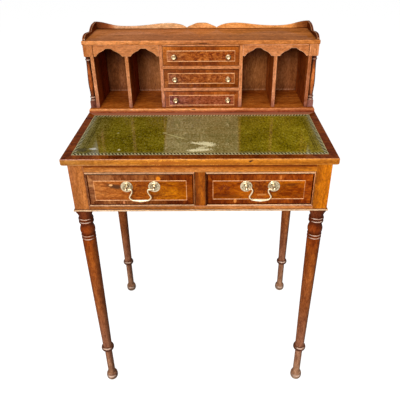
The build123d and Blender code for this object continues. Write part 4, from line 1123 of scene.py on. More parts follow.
def dress(piece: Piece, *materials: Finish) -> None:
    """Gives a piece its materials in place of what it has.

    Args:
        piece: the piece.
        materials: one for each slot.
    """
    piece.data.materials.clear()
    for material in materials:
        piece.data.materials.append(material)


def face_with(piece: Piece, material: Finish, wanted: FaceTest) -> None:
    """Lays a material on some faces.

    Args:
        piece: the piece.
        material: the material.
        wanted: tells by its centre and normal whether a face gets it.
    """
    piece.data.materials.append(material)
    for face in piece.data.polygons:
        if wanted(face.center, face.normal):
            face.material_index = len(piece.data.materials) - 1


def looks_up(centre: Vector, normal: Vector) -> bool:
    """Whether a face looks upwards."""
    return normal.z > 0.9


def looks_out(centre: Vector, normal: Vector) -> bool:
    """Whether a face looks away from the middle of the desk to a side."""
    return normal.x * centre.x > 0 and abs(normal.x) > 0.9


def on_crests(*crests: tuple[float, float]) -> FaceTest:
    """The test for the faces of turned work that lie on crests and face the sitter, which get a painted
    highlight.

    Args:
        crests: the lowest and the highest place on each crest, in millimetres.

    Returns:
        The test.
    """

    def on_crest(centre: Vector, normal: Vector) -> bool:
        """Whether a face looks at the sitter from a crest."""
        height = centre.z / MM
        return normal.y < -0.55 and any(low < height < high for low, high in crests)

    return on_crest


def join(name: str, *pieces: Piece) -> Piece:
    """Makes one piece of several.

    Args:
        name: the name of the whole.
        pieces: its parts.

    Returns:
        The whole.
    """
    take(*pieces)
    if len(pieces) > 1:
        bpy.ops.object.join()
    whole = bpy.context.object
    whole.name = name
    return whole


def copy_at(piece: Piece, name: str, move: Triple) -> Piece:
    """Copies a finished piece, mesh and all, to another place.

    Args:
        piece: what is copied.
        name: the copy's name.
        move: how far it goes.

    Returns:
        The copy, with its place in its mesh.
    """
    take(piece)
    bpy.ops.object.duplicate(linked=False)
    copy = bpy.context.object
    copy.name = name
    copy.location = Vector(copy.location) + Vector(move)
    bake_place(copy)
    return copy


def fit_out(piece: Piece, node: str = "", body: str = "desk") -> None:
    """Lets a finished piece ride on a body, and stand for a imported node.

    Args:
        piece: the finished piece.
        node: the node that it replaces, if any.
        body: the body that it moves with.
    """
    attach(piece, body)
    if node:
        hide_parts(node)
    LOG.info("%s rides on %s", piece.name, body)


def boards_of(node: str) -> list[Piece]:
    """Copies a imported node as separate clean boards.

    Args:
        node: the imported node.

    Returns:
        Its boards, in the order of their places.
    """
    take(frame["nodes"][node])
    bpy.ops.object.duplicate(linked=False)
    bpy.ops.object.parent_clear(type="CLEAR_KEEP_TRANSFORM")
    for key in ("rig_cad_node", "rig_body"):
        del bpy.context.object[key]
    bpy.ops.object.mode_set(mode="EDIT")
    bpy.ops.mesh.select_all(action="SELECT")
    bpy.ops.mesh.remove_doubles(threshold=1e-5)
    bpy.ops.mesh.dissolve_limited(angle_limit=math.radians(0.4))
    bpy.ops.mesh.select_all(action="SELECT")
    bpy.ops.mesh.separate(type="LOOSE")
    bpy.ops.object.mode_set(mode="OBJECT")
    boards = bpy.context.selected_objects
    return sorted(boards, key=lambda board: tuple(round(value, 4) for value in board.bound_box[0]))


def fine_boards(
    node: str, width: float, wood: PolishedWood, shift: float = 0.0, segments: int = 2, rub_and_highlight: float = 0.25
) -> Piece:
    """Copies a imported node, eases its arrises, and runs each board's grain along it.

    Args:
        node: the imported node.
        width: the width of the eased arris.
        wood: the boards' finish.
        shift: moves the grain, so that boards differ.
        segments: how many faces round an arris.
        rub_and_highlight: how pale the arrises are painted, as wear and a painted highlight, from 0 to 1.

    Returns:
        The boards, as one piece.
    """
    boards = boards_of(node)
    for place, board in enumerate(boards):
        lie = (longest_way(board), shift + (place % 4) * 1.7)
        dress(board, wood.material(*lie), wood.rubbed_and_lit(rub_and_highlight).material(*lie))
        ease(board, width, segments, slot=1)
    whole = join(node + "_fine", *boards)
    settle(whole)
    return whole


class Lathe:
    """Turns a piece about the upright axis, cut by cut, from its low end up, in millimetres."""

    def __init__(self, height: float, radius: float) -> None:
        """Starts at one end of the piece."""
        self.cuts = [(height, radius)]

    def to(self, height: float, radius: float) -> "Lathe":
        """Cuts straight on."""
        self.cuts.append((height, radius))
        return self

    def curve(self, height: float, radius: float, steps: int, path: CutPath) -> "Lathe":
        """Cuts along a curve.

        Args:
            height: where it ends.
            radius: the radius at its end.
            steps: how many faces make it.
            path: the shares of the rise and of the change of radius at each share of the way.

        Returns:
            The lathe, for the next cut.
        """
        low, root = self.cuts[-1]
        for step in range(1, steps + 1):
            rise, change = path(step / steps)
            self.to(low + (height - low) * rise, root + (radius - root) * change)
        return self

    def bead(self, height: float, crest: float, radius: float, steps: int) -> "Lathe":
        """Cuts a half-round bead, or a cove where the crest is the narrower.

        Args:
            height: where it ends.
            crest: its widest or narrowest radius.
            radius: the radius at its end.
            steps: how many faces make it.

        Returns:
            The lathe, for the next cut.
        """
        first = len(self.cuts)
        self.curve(height, radius, steps, lambda share: ((1 - math.cos(math.pi * share)) / 2, share))
        for step, (level, straight) in enumerate(self.cuts[first:]):
            bulge = math.sin(math.pi * (step + 1) / steps)
            self.cuts[first + step] = (level, straight + (crest - straight) * bulge)
        return self

    def swell(self, height: float, radius: float, steps: int) -> "Lathe":
        """Cuts a smooth S from the last radius to another."""
        return self.curve(height, radius, steps, lambda share: (share, (1 - math.cos(math.pi * share)) / 2))

    def flare(self, height: float, radius: float, steps: int) -> "Lathe":
        """Cuts a quarter round that leaves the last cut square to the axis, and ends along it."""
        return self.curve(height, radius, steps, lambda s: (1 - math.cos(QUARTER * s), math.sin(QUARTER * s)))

    def close(self, height: float, radius: float, steps: int) -> "Lathe":
        """Cuts a quarter round that leaves the last cut along the axis, and ends square to it."""
        return self.curve(height, radius, steps, lambda s: (math.sin(QUARTER * s), 1 - math.cos(QUARTER * s)))

    def ball(
        self, middle: float, radius: float, low_share: float, share: float, steps: int, least: float
    ) -> "Lathe":
        """Cuts a ball.

        Args:
            middle: the height of its centre.
            radius: its radius.
            low_share: where it starts, as a share of the half turn from its low pole.
            share: how much of the half turn twelve steps take.
            steps: how many steps are cut.
            least: the least radius.

        Returns:
            The lathe, for the next cut.
        """
        for step in range(1, steps + 1):
            turn = math.pi * (low_share + share * step / 12)
            self.to(middle - radius * math.cos(turn), max(radius * math.sin(turn), least))
        return self

    def turn(self, name: str, sides: int) -> Piece:
        """Draws a disc out along the axis, and widens it at each cut.

        Args:
            name: the piece's name.
            sides: how many sides its rings have.

        Returns:
            The closed piece, standing on the origin's axis.
        """
        take()
        height, radius = (value * MM for value in self.cuts[0])
        bpy.ops.mesh.primitive_circle_add(
            vertices=sides, radius=radius, fill_type="NGON", location=(0, 0, height), enter_editmode=True
        )
        for cut in self.cuts[1:]:
            next_height, next_radius = (value * MM for value in cut)
            bpy.ops.mesh.extrude_region_move(TRANSFORM_OT_translate={"value": (0, 0, next_height - height)})
            ratio = next_radius / radius
            bpy.ops.transform.resize(value=(ratio, ratio, 1), center_override=(0, 0, next_height))
            height, radius = next_height, next_radius
        turn_outwards()
        piece = bpy.context.object
        piece.name = name
        bake_place(piece)
        return piece


def slab(name: str, low: Triple, high: Triple) -> Piece:
    """Adds a block between two corners, to be shaped.

    Args:
        name: its name.
        low: its lowest corner.
        high: its highest corner.

    Returns:
        The block, with its place in its mesh.
    """
    take()
    bpy.ops.mesh.primitive_cube_add(size=1, location=tuple((a + b) / 2 for a, b in zip(low, high)))
    block = bpy.context.object
    block.name = name
    block.scale = tuple(b - a for a, b in zip(low, high))
    bake_place(block)
    return block


def shrunk(rect: Rect, by: float) -> Rect:
    """A rectangle made narrower by the same width on every side."""
    return rect[0] + by, rect[1] - by, rect[2] + by, rect[3] - by


def within(rect: Rect, centre: Vector) -> bool:
    """Whether the centre of a face lies in a rectangle, as the sitter sees it."""
    return rect[0] < centre.x < rect[1] and rect[2] < centre.z < rect[3]


def span_of(node: str) -> Rect:
    """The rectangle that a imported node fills, as the sitter sees it: its least and most x, and z."""
    low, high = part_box(node)
    return low[0], high[0], low[2], high[2]


def middle_of(rect: Rect, front: float) -> Triple:
    """The middle of a rectangle that stands at a place from front to back."""
    return (rect[0] + rect[1]) / 2, front, (rect[2] + rect[3]) / 2


def inlaid_sheet(name: str, front: float, thickness: float, rects: list[Rect]) -> Piece:
    """Makes a sheet of veneer whose face is set out by rectangles, one inside the other.

    Args:
        name: its name.
        front: the y of its face.
        thickness: how thick it is.
        rects: each rectangle's least x, most x, least z and most z, from the outside in.

    Returns:
        The sheet, facing the sitter.
    """
    take()
    here = rects[0]
    bpy.ops.mesh.primitive_plane_add(size=1, location=middle_of(here, front), rotation=(QUARTER, 0, 0))
    sheet = bpy.context.object
    sheet.name = name
    sheet.scale = (here[1] - here[0], here[3] - here[2], 1)
    bake_place(sheet)
    pick(sheet, lambda centre, normal: True)
    inset = 0.0005
    for after in rects[1:]:
        bpy.ops.mesh.inset(thickness=inset, depth=0)
        here = shrunk(here, inset)
        centre = middle_of(here, front)
        ratio = ((after[1] - after[0]) / (here[1] - here[0]), 1, (after[3] - after[2]) / (here[3] - here[2]))
        bpy.ops.transform.resize(value=ratio, center_override=centre)
        bpy.ops.transform.translate(value=Vector(middle_of(after, front)) - Vector(centre))
        here = after
    bpy.ops.object.mode_set(mode="OBJECT")
    modify(sheet, "SOLIDIFY", thickness=thickness, offset=-1)
    return sheet


# The desk


@dataclass
class Legs:
    """Four turned legs, in millimetres of height and radius from the floor up."""

    axis_x: float = 282.5
    front_y: float = -195.0
    back_y: float = 206.5
    pad: float = 9.5
    foot_high: float = 12.2
    foot: float = 16.5
    ankle: float = 10.4
    anklet_low: float = 125.5
    anklet_high: float = 140.5
    anklet: float = 18.0
    shaft_low: float = 12.7
    shaft_high: float = 17.3
    shaft_end: float = 520.0
    length: float = 616.0
    # Bands that get the painted highlight: on the foot, the anklet and the rings, in millimetres.
    crests: tuple[tuple[float, float], ...] = (
        (15.0, 20.0), (136.0, 139.6), (530.6, 533.8), (539.8, 542.4), (580.3, 582.6), (588.8, 591.2)
    )

    def shape(self) -> Piece:
        """Turns one leg.

        Returns:
            The leg, on the origin's axis.
        """
        lathe = Lathe(0.0, self.pad).to(0.6, self.pad + 1.4).flare(self.foot_high, self.foot, 9)
        lathe.close(25.0, 12.4, 9).to(25.4, 11.3).bead(29.0, 10.2, self.ankle, 5)
        lathe.to(80.0, self.ankle).to(self.anklet_low - 1.6, self.ankle).close(self.anklet_low, 12.4, 4)
        lathe.bead(self.anklet_high, self.anklet, 13.2, 14).flare(self.anklet_high + 1.2, self.shaft_low, 3)
        for share in (0.2, 0.4, 0.6, 0.8):
            girth = self.shaft_low + (self.shaft_high - self.shaft_low) * share ** 0.9
            lathe.to(self.anklet_high + (self.shaft_end - self.anklet_high) * share, girth)
        lathe.to(522.0, self.shaft_high).close(526.8, 15.8, 5).to(527.8, 15.8)
        lathe.bead(535.3, 17.8, 16.2, 9).to(536.5, 16.2).bead(544.0, 17.8, 15.2, 9).to(545.0, 15.2)
        lathe.flare(556.0, 18.5, 7).swell(573.0, 14.8, 9).to(574.8, 14.8)
        lathe.bead(582.3, 18.3, 16.4, 9).to(583.5, 16.4).bead(591.0, 18.3, 16.0, 9).to(591.8, 16.0)
        lathe.bead(600.0, 16.1, 17.4, 5).close(606.4, 19.5, 5)
        return lathe.to(607.0, 20.2).flare(608.2, 21.0, 3).to(self.length, 21.0).turn("turned_leg", 48)

    def build(self) -> None:
        """Turns a leg, and stands a copy of it at each corner."""
        model = self.shape()
        settle(model, 50.0)
        ends = {"front": self.front_y, "back": self.back_y}
        sides = {"left": -self.axis_x, "right": self.axis_x}
        for shift, (end, side) in enumerate((end, side) for end in ends for side in sides):
            node = f"leg_{end}_{side}"
            leg = copy_at(model, node + "_turned", (sides[side] * MM, ends[end] * MM, 0))
            dress(leg, LEG_WOOD.material(Grain.UPRIGHT, shift * 1.7))
            face_with(leg, CREST_HIGHLIGHT_WOOD.material(Grain.ACROSS_DESK), on_crests(*self.crests))
            fit_out(leg, node)
        bpy.data.objects.remove(model)


@dataclass
class Carcass:
    """Posts, aprons, rails, stile and base bead under the top."""

    arris: float = 0.0006
    rail_arris: float = 0.0009
    bead_arris: float = 0.0016

    def build(self) -> None:
        """Eases and dresses every board of the carcass."""
        for node, width, wood, shift, rub_and_highlight in (
            ("corner_posts", self.arris, FRAME_WOOD, 0.0, 0.25),
            ("side_aprons", self.arris, FRAME_WOOD, 2.3, 0.25),
            ("back_apron", self.arris, FRAME_WOOD, 4.6, 0.25),
            ("centre_stile", self.arris, STILE_WOOD, 0.0, 0.25),
            ("front_top_rail", self.rail_arris, TOP_RAIL_WOOD, 5.0, 0.15),
            ("front_bottom_rail", self.rail_arris, LOW_RAIL_WOOD, 5.0, 0.3),
        ):
            fit_out(fine_boards(node, width, wood, shift, rub_and_highlight=rub_and_highlight), node)
        bead = fine_boards("base_bead", self.bead_arris, BASE_BEAD_WOOD, 3.1, 4, 0.3)
        # Painted shadow: a dark line along the top of the base bead.
        face_with(bead, JOINT_AND_SHADE_WOOD.material(Grain.ACROSS_DESK), looks_up)
        fit_out(bead, "base_bead")
        for node in ("leg_bolts", "fixing_screws"):
            dress(frame["nodes"][node], STEEL.material())
        dress(frame["nodes"]["drawer_runners"], LINING_WOOD.material(Grain.FRONT_TO_BACK))


@dataclass
class Desktop:
    """The cross-banded top with its lipping, and the leather let into it."""

    lip_width: float = 0.009
    top_arris: float = 0.0015
    nose: float = 0.0068
    board_arris: float = 0.0002
    leather_edge: float = 0.0003
    leather_rim: float = 0.006
    crease_width: float = 0.0008
    crease_depth: float = 0.00012

    def border(self) -> Finish:
        """The cross-banding that surrounds the leather."""
        low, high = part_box("desk_leather")
        return BorderVeneer(TOP_WOOD, high[0], low[1], high[1]).material()

    def lipping(self) -> None:
        """Shapes the moulded edge from a block: rounded outside, and cut away inside."""
        low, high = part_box("top_lipping")
        edge = slab("top_lipping_moulded", low, high)
        for up, width, segments in ((-1, self.nose, 7), (1, self.top_arris, 3)):
            pick(edge, lambda centre, normal: normal.z * up > 0.5)
            bpy.ops.mesh.bevel(offset=width, segments=segments, affect="EDGES")
        for up, width, level in ((1, self.top_arris, high[2]), (-1, self.nose, low[2])):
            pick(edge, lambda centre, normal: normal.z * up > 0.9 and abs(centre.z - level) < 1e-4)
            bpy.ops.mesh.inset(thickness=self.lip_width - width, depth=0)
            bpy.ops.mesh.delete(type="FACE")
        bpy.ops.mesh.select_mode(type="EDGE")
        bpy.ops.mesh.select_all(action="DESELECT")
        bpy.ops.mesh.select_non_manifold(extend=False, use_boundary=True, use_wire=False)
        bpy.ops.mesh.bridge_edge_loops()
        turn_outwards()
        dress(edge, EDGE_WOOD.material(Grain.ACROSS_DESK))
        # Painted highlight along the top front arris of the lipping.
        wear_and_sheen = EDGE_WOOD.rubbed_and_lit(0.15).material(Grain.ACROSS_DESK)
        side = EDGE_WOOD.material(Grain.FRONT_TO_BACK, 1.0)
        face_with(edge, side, lambda centre, normal: abs(normal.x) > 0.5)
        face_with(edge, self.border(), looks_up)
        face_with(edge, wear_and_sheen, lambda centre, normal: 0.2 < normal.z < 0.9 and normal.y < -0.1)
        settle(edge)
        fit_out(edge, "top_lipping")

    def board(self) -> None:
        """Dresses the board that the leather lies in."""
        board = fine_boards("top_board", self.board_arris, TOP_WOOD)
        face_with(board, self.border(), looks_up)
        fit_out(board, "top_board")

    def leather(self) -> None:
        """Lays the leather, with a softly rounded edge and a shallow crease inside its rim."""
        low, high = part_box("desk_leather")
        skin = slab("desk_leather_tooled", low, high)
        pick(skin, lambda centre, normal: normal.z > 0.5)
        for width, depth in (
            (self.leather_rim, 0),
            (self.crease_width, -self.crease_depth),
            (self.crease_width, self.crease_depth),
        ):
            bpy.ops.mesh.inset(thickness=width, depth=depth)
        take()
        ease(skin, self.leather_edge, 2, 60.0)
        dress(skin, GlazedLeather(high[0], low[1], high[1]).material())
        settle(skin, 20.0)
        fit_out(skin, "desk_leather")

    def build(self) -> None:
        """Builds the top."""
        self.board()
        self.lipping()
        self.leather()


def fit_pair(
    model: Piece, node: str, body: str, brass: OldBrass, foot: Triple, gap: float, smooth_angle: float
) -> None:
    """Points a turned model at the sitter, and fits it and a copy of it to a drawer.

    Args:
        model: the piece, upright on the origin's axis.
        node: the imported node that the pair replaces.
        body: the body that it rides on.
        brass: its finish.
        foot: where the left one stands on the drawer's front.
        gap: how far the right one is from it.
        smooth_angle: faces that turn less than this many degrees are shaded as one curve.
    """
    model.rotation_euler = (QUARTER, 0, 0)
    model.location = foot
    settle(model, smooth_angle)
    pair = join(node + "_turned", model, copy_at(model, "other", (gap, 0, 0)))
    dress(pair, brass.material())
    fit_out(pair, node, body)


@dataclass
class SwanNeckPull:
    """A pull of two rosettes with posts and a swan-neck bail, in millimetres about its middle.

    The corners of the bail run from a knuckle to its middle: x, z below the pivot, and bend radius.
    """

    span: float = 64.0
    height: float = 683.0
    pivot_y: float = -226.5
    face_y: float = -212.5
    rod: float = 1.9
    swell: float = 3.3
    swell_half: float = 20.0
    bend_steps: int = 9
    swell_steps: int = 12
    start: tuple[float, float] = (24.8, 0.0)
    end: tuple[float, float] = (0.0, -30.0)
    corners: tuple[Triple, ...] = (
        (18.0, 0.0, 3.4), (18.6, -8.0, 8.0), (26.0, -21.2, 5.0), (18.6, -28.7, 8.0)
    )

    def rosette(self) -> Piece:
        """Turns a rosette: a rim, a raised ring, a dish and a boss.

        Returns:
            The rosette, upright.
        """
        lathe = Lathe(0.0, 14.0).to(0.7, 14.0).close(1.4, 13.2, 3).to(1.5, 12.2).bead(1.7, 12.0, 11.4, 2)
        lathe.close(3.0, 10.0, 5).flare(3.0, 9.6, 2).to(3.0, 9.0).close(1.7, 7.0, 5).to(1.6, 6.2)
        return lathe.flare(4.4, 5.0, 5).close(5.0, 3.2, 4).turn("rosette", 40)

    def post(self) -> Piece:
        """Turns a post: a collar, a shank and a ball."""
        lathe = Lathe(4.6, 3.7).to(5.6, 3.7).close(6.4, 2.9, 3).swell(8.6, 2.3, 4).to(9.6, 2.5)
        return lathe.ball(14.0, 4.0, 0.27, 0.73, 12, 0.05).turn("pull_post", 28)

    def knuckle(self) -> Piece:
        """Turns the ball and the pin at one end of the bail."""
        lathe = Lathe(20.9, 1.9).to(22.3, 1.95).ball(24.8, 2.8, 0.14, 0.68, 11, 0.0)
        return lathe.to(27.3, 1.5).to(34.5, 1.5).to(34.8, 1.2).turn("knuckle", 20)

    def draw(self, run: Vector) -> None:
        """Extrudes the last ring along a straight run in the plane of the bail."""
        bpy.ops.mesh.extrude_region_move(TRANSFORM_OT_translate={"value": (run.x * MM, 0, run.y * MM)})

    def half_bail(self) -> Piece:
        """Draws a ring out along half of the bail, spun round each bend.

        Returns:
            The half bail, about the middle of the pull.
        """
        take()
        here, end = Vector(self.start), Vector(self.end)
        bpy.ops.mesh.primitive_circle_add(
            vertices=20,
            radius=self.rod * MM,
            fill_type="NGON",
            location=(here.x * MM, 0, here.y * MM),
            rotation=(0, QUARTER, 0),
            enter_editmode=True,
        )
        stops = [Vector(corner[:2]) for corner in self.corners] + [end]
        for (x, z, radius), following in zip(self.corners, stops[1:]):
            corner = Vector((x, z))
            before = (corner - here).normalized()
            after = (following - corner).normalized()
            angle = before.angle_signed(after)
            reach = radius * math.tan(abs(angle) / 2)
            tangent = corner - before * reach
            self.draw(tangent - here)
            centre = tangent + Vector((-before.y, before.x)) * math.copysign(radius, -angle)
            bpy.ops.mesh.spin(
                steps=self.bend_steps, angle=-angle, center=(centre.x * MM, 0, centre.y * MM), axis=(0, 1, 0)
            )
            here = corner + after * reach
        run = (end - here) / self.swell_steps
        girth = self.rod
        for step in range(1, self.swell_steps + 1):
            self.draw(run)
            at = here + run * step
            share = max(0.0, 1 - abs(at.x) / self.swell_half)
            next_girth = self.rod + (self.swell - self.rod) * (1 - math.cos(math.pi * share)) / 2
            ratio = next_girth / girth
            bpy.ops.transform.resize(value=(1, ratio, ratio), center_override=(at.x * MM, 0, at.y * MM))
            girth = next_girth
        bpy.ops.object.mode_set(mode="OBJECT")
        return bpy.context.object

    def bail(self, name: str) -> Piece:
        """Makes the whole bail about the middle of the pull, at the pivot's height.

        Args:
            name: its name.

        Returns:
            The bail.
        """
        half, knuckle = self.half_bail(), self.knuckle()
        knuckle.rotation_euler = (0, QUARTER, 0)
        for piece in (half, knuckle):
            bake_place(piece)
        side = join("bail_side", half, knuckle)
        other = copy_at(side, "bail_other", (0, 0, 0))
        for piece, scale in ((other, (-1, 1, 1)), (side, (1, 1, 1))):
            pick(piece, lambda centre, normal: True)
            bpy.ops.transform.resize(value=scale, center_override=(0, 0, 0))
            turn_outwards()
        return join(name, side, other)

    def build(self, drawer: str, bail_body: str, middle: float) -> None:
        """Fits a pull to a drawer.

        Args:
            drawer: the drawer's body.
            bail_body: the body of its bail.
            middle: the x of the pull's middle, in metres.
        """
        gap = self.span * MM
        foot = (middle - gap / 2, self.face_y * MM, self.height * MM)
        fit_pair(self.rosette(), f"{drawer}_rosettes", drawer, PLATE_BRASS, foot, gap, 45.0)
        fit_pair(self.post(), f"{drawer}_pull_posts", drawer, PLATE_BRASS, foot, gap, 45.0)
        bail = self.bail(f"{drawer}_bail_cast")
        bail.location = (middle, self.pivot_y * MM, self.height * MM)
        settle(bail, 60.0)
        dress(bail, BAIL_BRASS.material())
        fit_out(bail, f"{drawer}_bail", bail_body)


@dataclass
class Drawer:
    """What the long and the small drawers share: a veneered front with a string, and a plain box."""

    name: str
    string_low: float
    string_high: float
    shift: float = 0.0
    box_shift: float = 0.0
    string: float = 0.0016
    veneer: float = 0.0002

    def veneers(self, rects: list[Rect], band: PolishedWood, field: PolishedWood) -> Piece:
        """Lays banding, string and a figured field on the front.

        Args:
            rects: the sheet's outline, any line inside it, and the string's outer edge.
            band: the wood of the banding.
            field: the wood of the field.

        Returns:
            The sheet of veneer.
        """
        string_out = rects[-1]
        string_in = shrunk(string_out, self.string)
        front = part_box(self.name + "_front")[0][1] - self.veneer
        sheet = inlaid_sheet(self.name + "_veneer", front, self.veneer, [*rects, string_in])

        def in_string(centre: Vector, normal: Vector) -> bool:
            """Whether a face lies in the string."""
            return within(string_out, centre) and not within(string_in, centre)

        def in_level_string(centre: Vector, normal: Vector) -> bool:
            """Whether a face lies in the string's upper or lower length."""
            return in_string(centre, normal) and string_in[0] < centre.x < string_in[1]

        dress(sheet, band.material(Grain.UPRIGHT, self.shift))
        for wood, shift, wanted in (
            (band, self.shift, lambda centre, normal: not string_out[0] <= centre.x <= string_out[1]),
            (STRING_WOOD, 0.0, in_string),
            (STRING_WOOD.rubbed_and_lit(0.9), 0.0, in_level_string),
            (field, self.shift, lambda centre, normal: within(string_in, centre)),
        ):
            face_with(sheet, wood.material(Grain.ACROSS_DESK, shift), wanted)
        return sheet

    def box(self) -> None:
        """Dresses the dovetailed box."""
        for part in ("sides", "back", "bottom"):
            grain = Grain.FRONT_TO_BACK if part == "sides" else Grain.ACROSS_DESK
            dress(frame["nodes"][f"{self.name}_{part}"], LINING_WOOD.material(grain, self.box_shift))


@dataclass
class LongDrawer(Drawer):
    """A long drawer whose front is veneered: banding, string and a figured field."""

    left_inset: float = 0.0
    right_inset: float = 0.0
    arris: float = 0.0004
    bead_width: float = 0.003
    bead_round: float = 0.0011
    # Width of the painted shadow line just inside the cock bead.
    dark_line: float = 0.0025
    # Middle colour of the dim painted highlight on the left drawer's left strip.
    dim_bead_highlight: Triple = (0.34, 0.10, 0.035)

    def front(self) -> None:
        """Eases the front and lays its veneers."""
        node = self.name + "_front"
        fit_out(fine_boards(node, self.arris, BAND_WOOD), node, self.name)
        outer = shrunk(span_of(node), self.bead_width)
        edge = shrunk(outer, self.dark_line)
        string = (outer[0] + self.left_inset, outer[1] - self.right_inset, self.string_low, self.string_high)
        sheet = self.veneers([outer, edge, string], BAND_WOOD, FIELD_WOOD)
        # Painted shadow: a dark line round the veneer, just inside the cock bead.
        line = JOINT_AND_SHADE_WOOD.material(Grain.ACROSS_DESK)
        face_with(sheet, line, lambda centre, normal: not within(edge, centre))
        settle(sheet)
        fit_out(sheet, "", self.name)

    def bead(self) -> None:
        """Rounds the cock bead round the front, and paints highlights on it: on the level strips' crowns,
        fainter on its right strip, and dim on the left drawer's left strip.
        """
        node = self.name + "_cock_bead"
        strips = fine_boards(node, self.bead_round, BEAD_WOOD, 1.0, 4, 0.05)
        left, right, _, high = shrunk(span_of(node), self.bead_width)
        dim_highlight = replace(LIT_BEAD_WOOD, name="old_bead_wood", middle=self.dim_bead_highlight)

        def on_crown(centre: Vector, normal: Vector) -> bool:
            """Whether a face lies on the front of a level strip, or on the top of the upper one."""
            return (normal.y < -0.2 or normal.z > 0.5 and centre.z > high) and left < centre.x < right

        face_with(strips, CROWN_HIGHLIGHT_WOOD.material(Grain.ACROSS_DESK), on_crown)
        # Painted highlight on the right upright strip.
        wear_and_sheen = LIT_BEAD_WOOD.material(Grain.UPRIGHT)
        face_with(strips, wear_and_sheen, lambda centre, normal: normal.y < -0.6 and centre.x > right)
        if self.name == "left_drawer":
            dull = dim_highlight.material(Grain.UPRIGHT)
            face_with(strips, dull, lambda centre, normal: normal.y < -0.6 and centre.x < left)
        fit_out(strips, node, self.name)

    def build(self) -> None:
        """Builds the drawer and its pull."""
        self.front()
        self.bead()
        self.box()
        left, right, _, _ = span_of(self.name + "_front")
        SwanNeckPull().build(self.name, self.name.replace("drawer", "bail"), (left + right) / 2)


@dataclass
class SmallDrawer(Drawer):
    """A small drawer with a burr front, a string and two brass knobs."""

    box_shift: float = 0.7
    string: float = 0.0018
    string_half: float = 0.0885
    arris: float = 0.0005
    rim: float = 0.0008
    knob_x: float = 0.070

    def knob(self) -> Piece:
        """Turns a knob: a flange, a stem, and a head with a sunk middle.

        Returns:
            The knob, upright.
        """
        lathe = Lathe(0.0, 5.25).to(0.8, 5.25).close(1.5, 4.4, 3).to(1.5, 3.6)
        lathe.swell(5.0, 3.0, 4).to(6.0, 3.6).flare(9.6, 7.0, 7).close(13.4, 5.4, 6)
        lathe.to(13.8, 4.7).to(13.4, 4.0).flare(12.9, 2.2, 3).to(12.9, 1.6)
        return lathe.close(13.5, 0.4, 3).turn("knob", 32)

    def build(self) -> None:
        """Builds the front, its veneers and knobs, and dresses the box."""
        node = self.name + "_front"
        fit_out(fine_boards(node, self.arris, SMALL_BAND_WOOD, self.shift), node, self.name)
        string = (-self.string_half, self.string_half, self.string_low, self.string_high)
        sheet = self.veneers([shrunk(span_of(node), self.rim), string], SMALL_BAND_WOOD, BURR_WOOD)
        settle(sheet)
        fit_out(sheet, "", self.name)
        knobs = self.name + "_knobs"
        _, _, level = middle_of(span_of(knobs), 0)
        foot = (-self.knob_x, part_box(node)[0][1], level)
        fit_pair(self.knob(), knobs, self.name, KNOB_BRASS, foot, 2 * self.knob_x, 50.0)
        self.box()


@dataclass
class Columns:
    """The two turned columns at the front corners of the upper part, in millimetres."""

    axis_x: float = 295.5
    axis_y: float = 79.0
    block_half: float = 8.0
    block_low: float = 772.0
    block_high: float = 791.0
    # Bands that get the painted highlight on the rings, in millimetres.
    crests: tuple[tuple[float, float], ...] = ((792.6, 795.0), (800.2, 802.6), (899.8, 902.0))

    def shape(self) -> Piece:
        """Turns a column above its square block.

        Returns:
            The column, on the origin's axis.
        """
        lathe = Lathe(790.4, 7.0).to(791.0, 7.3).bead(796.0, 7.8, 6.6, 8).bead(798.5, 5.8, 6.6, 5)
        lathe.bead(803.5, 7.8, 6.1, 8).flare(804.6, 6.0, 3).swell(838.0, 7.6, 8).swell(897.0, 5.7, 12)
        lathe.to(898.5, 5.7).bead(903.5, 7.2, 5.7, 8).to(906.4, 5.7).close(907.5, 6.4, 3)
        return lathe.to(909.4, 6.4).turn("turned_column", 36)

    def build(self) -> None:
        """Builds both columns."""
        column = self.shape()
        column.location = (-self.axis_x * MM, self.axis_y * MM, 0)
        settle(column, 50.0)
        low, high = (
            tuple(value * MM for value in (-self.axis_x + out, self.axis_y + out, level))
            for out, level in ((-self.block_half, self.block_low), (self.block_half, self.block_high))
        )
        block = slab("column_block", low, high)
        ease(block, 0.0009, 3)
        settle(block)
        left = join("left_column", column, block)
        right = copy_at(left, "right_column", (2 * self.axis_x * MM, 0, 0))
        for shift, piece in ((0.0, left), (2.0, right)):
            dress(piece, COLUMN_WOOD.material(Grain.UPRIGHT, shift))
            face_with(piece, CREST_HIGHLIGHT_WOOD.material(Grain.ACROSS_DESK), on_crests(*self.crests))
        fit_out(join("columns_turned", left, right), "columns")


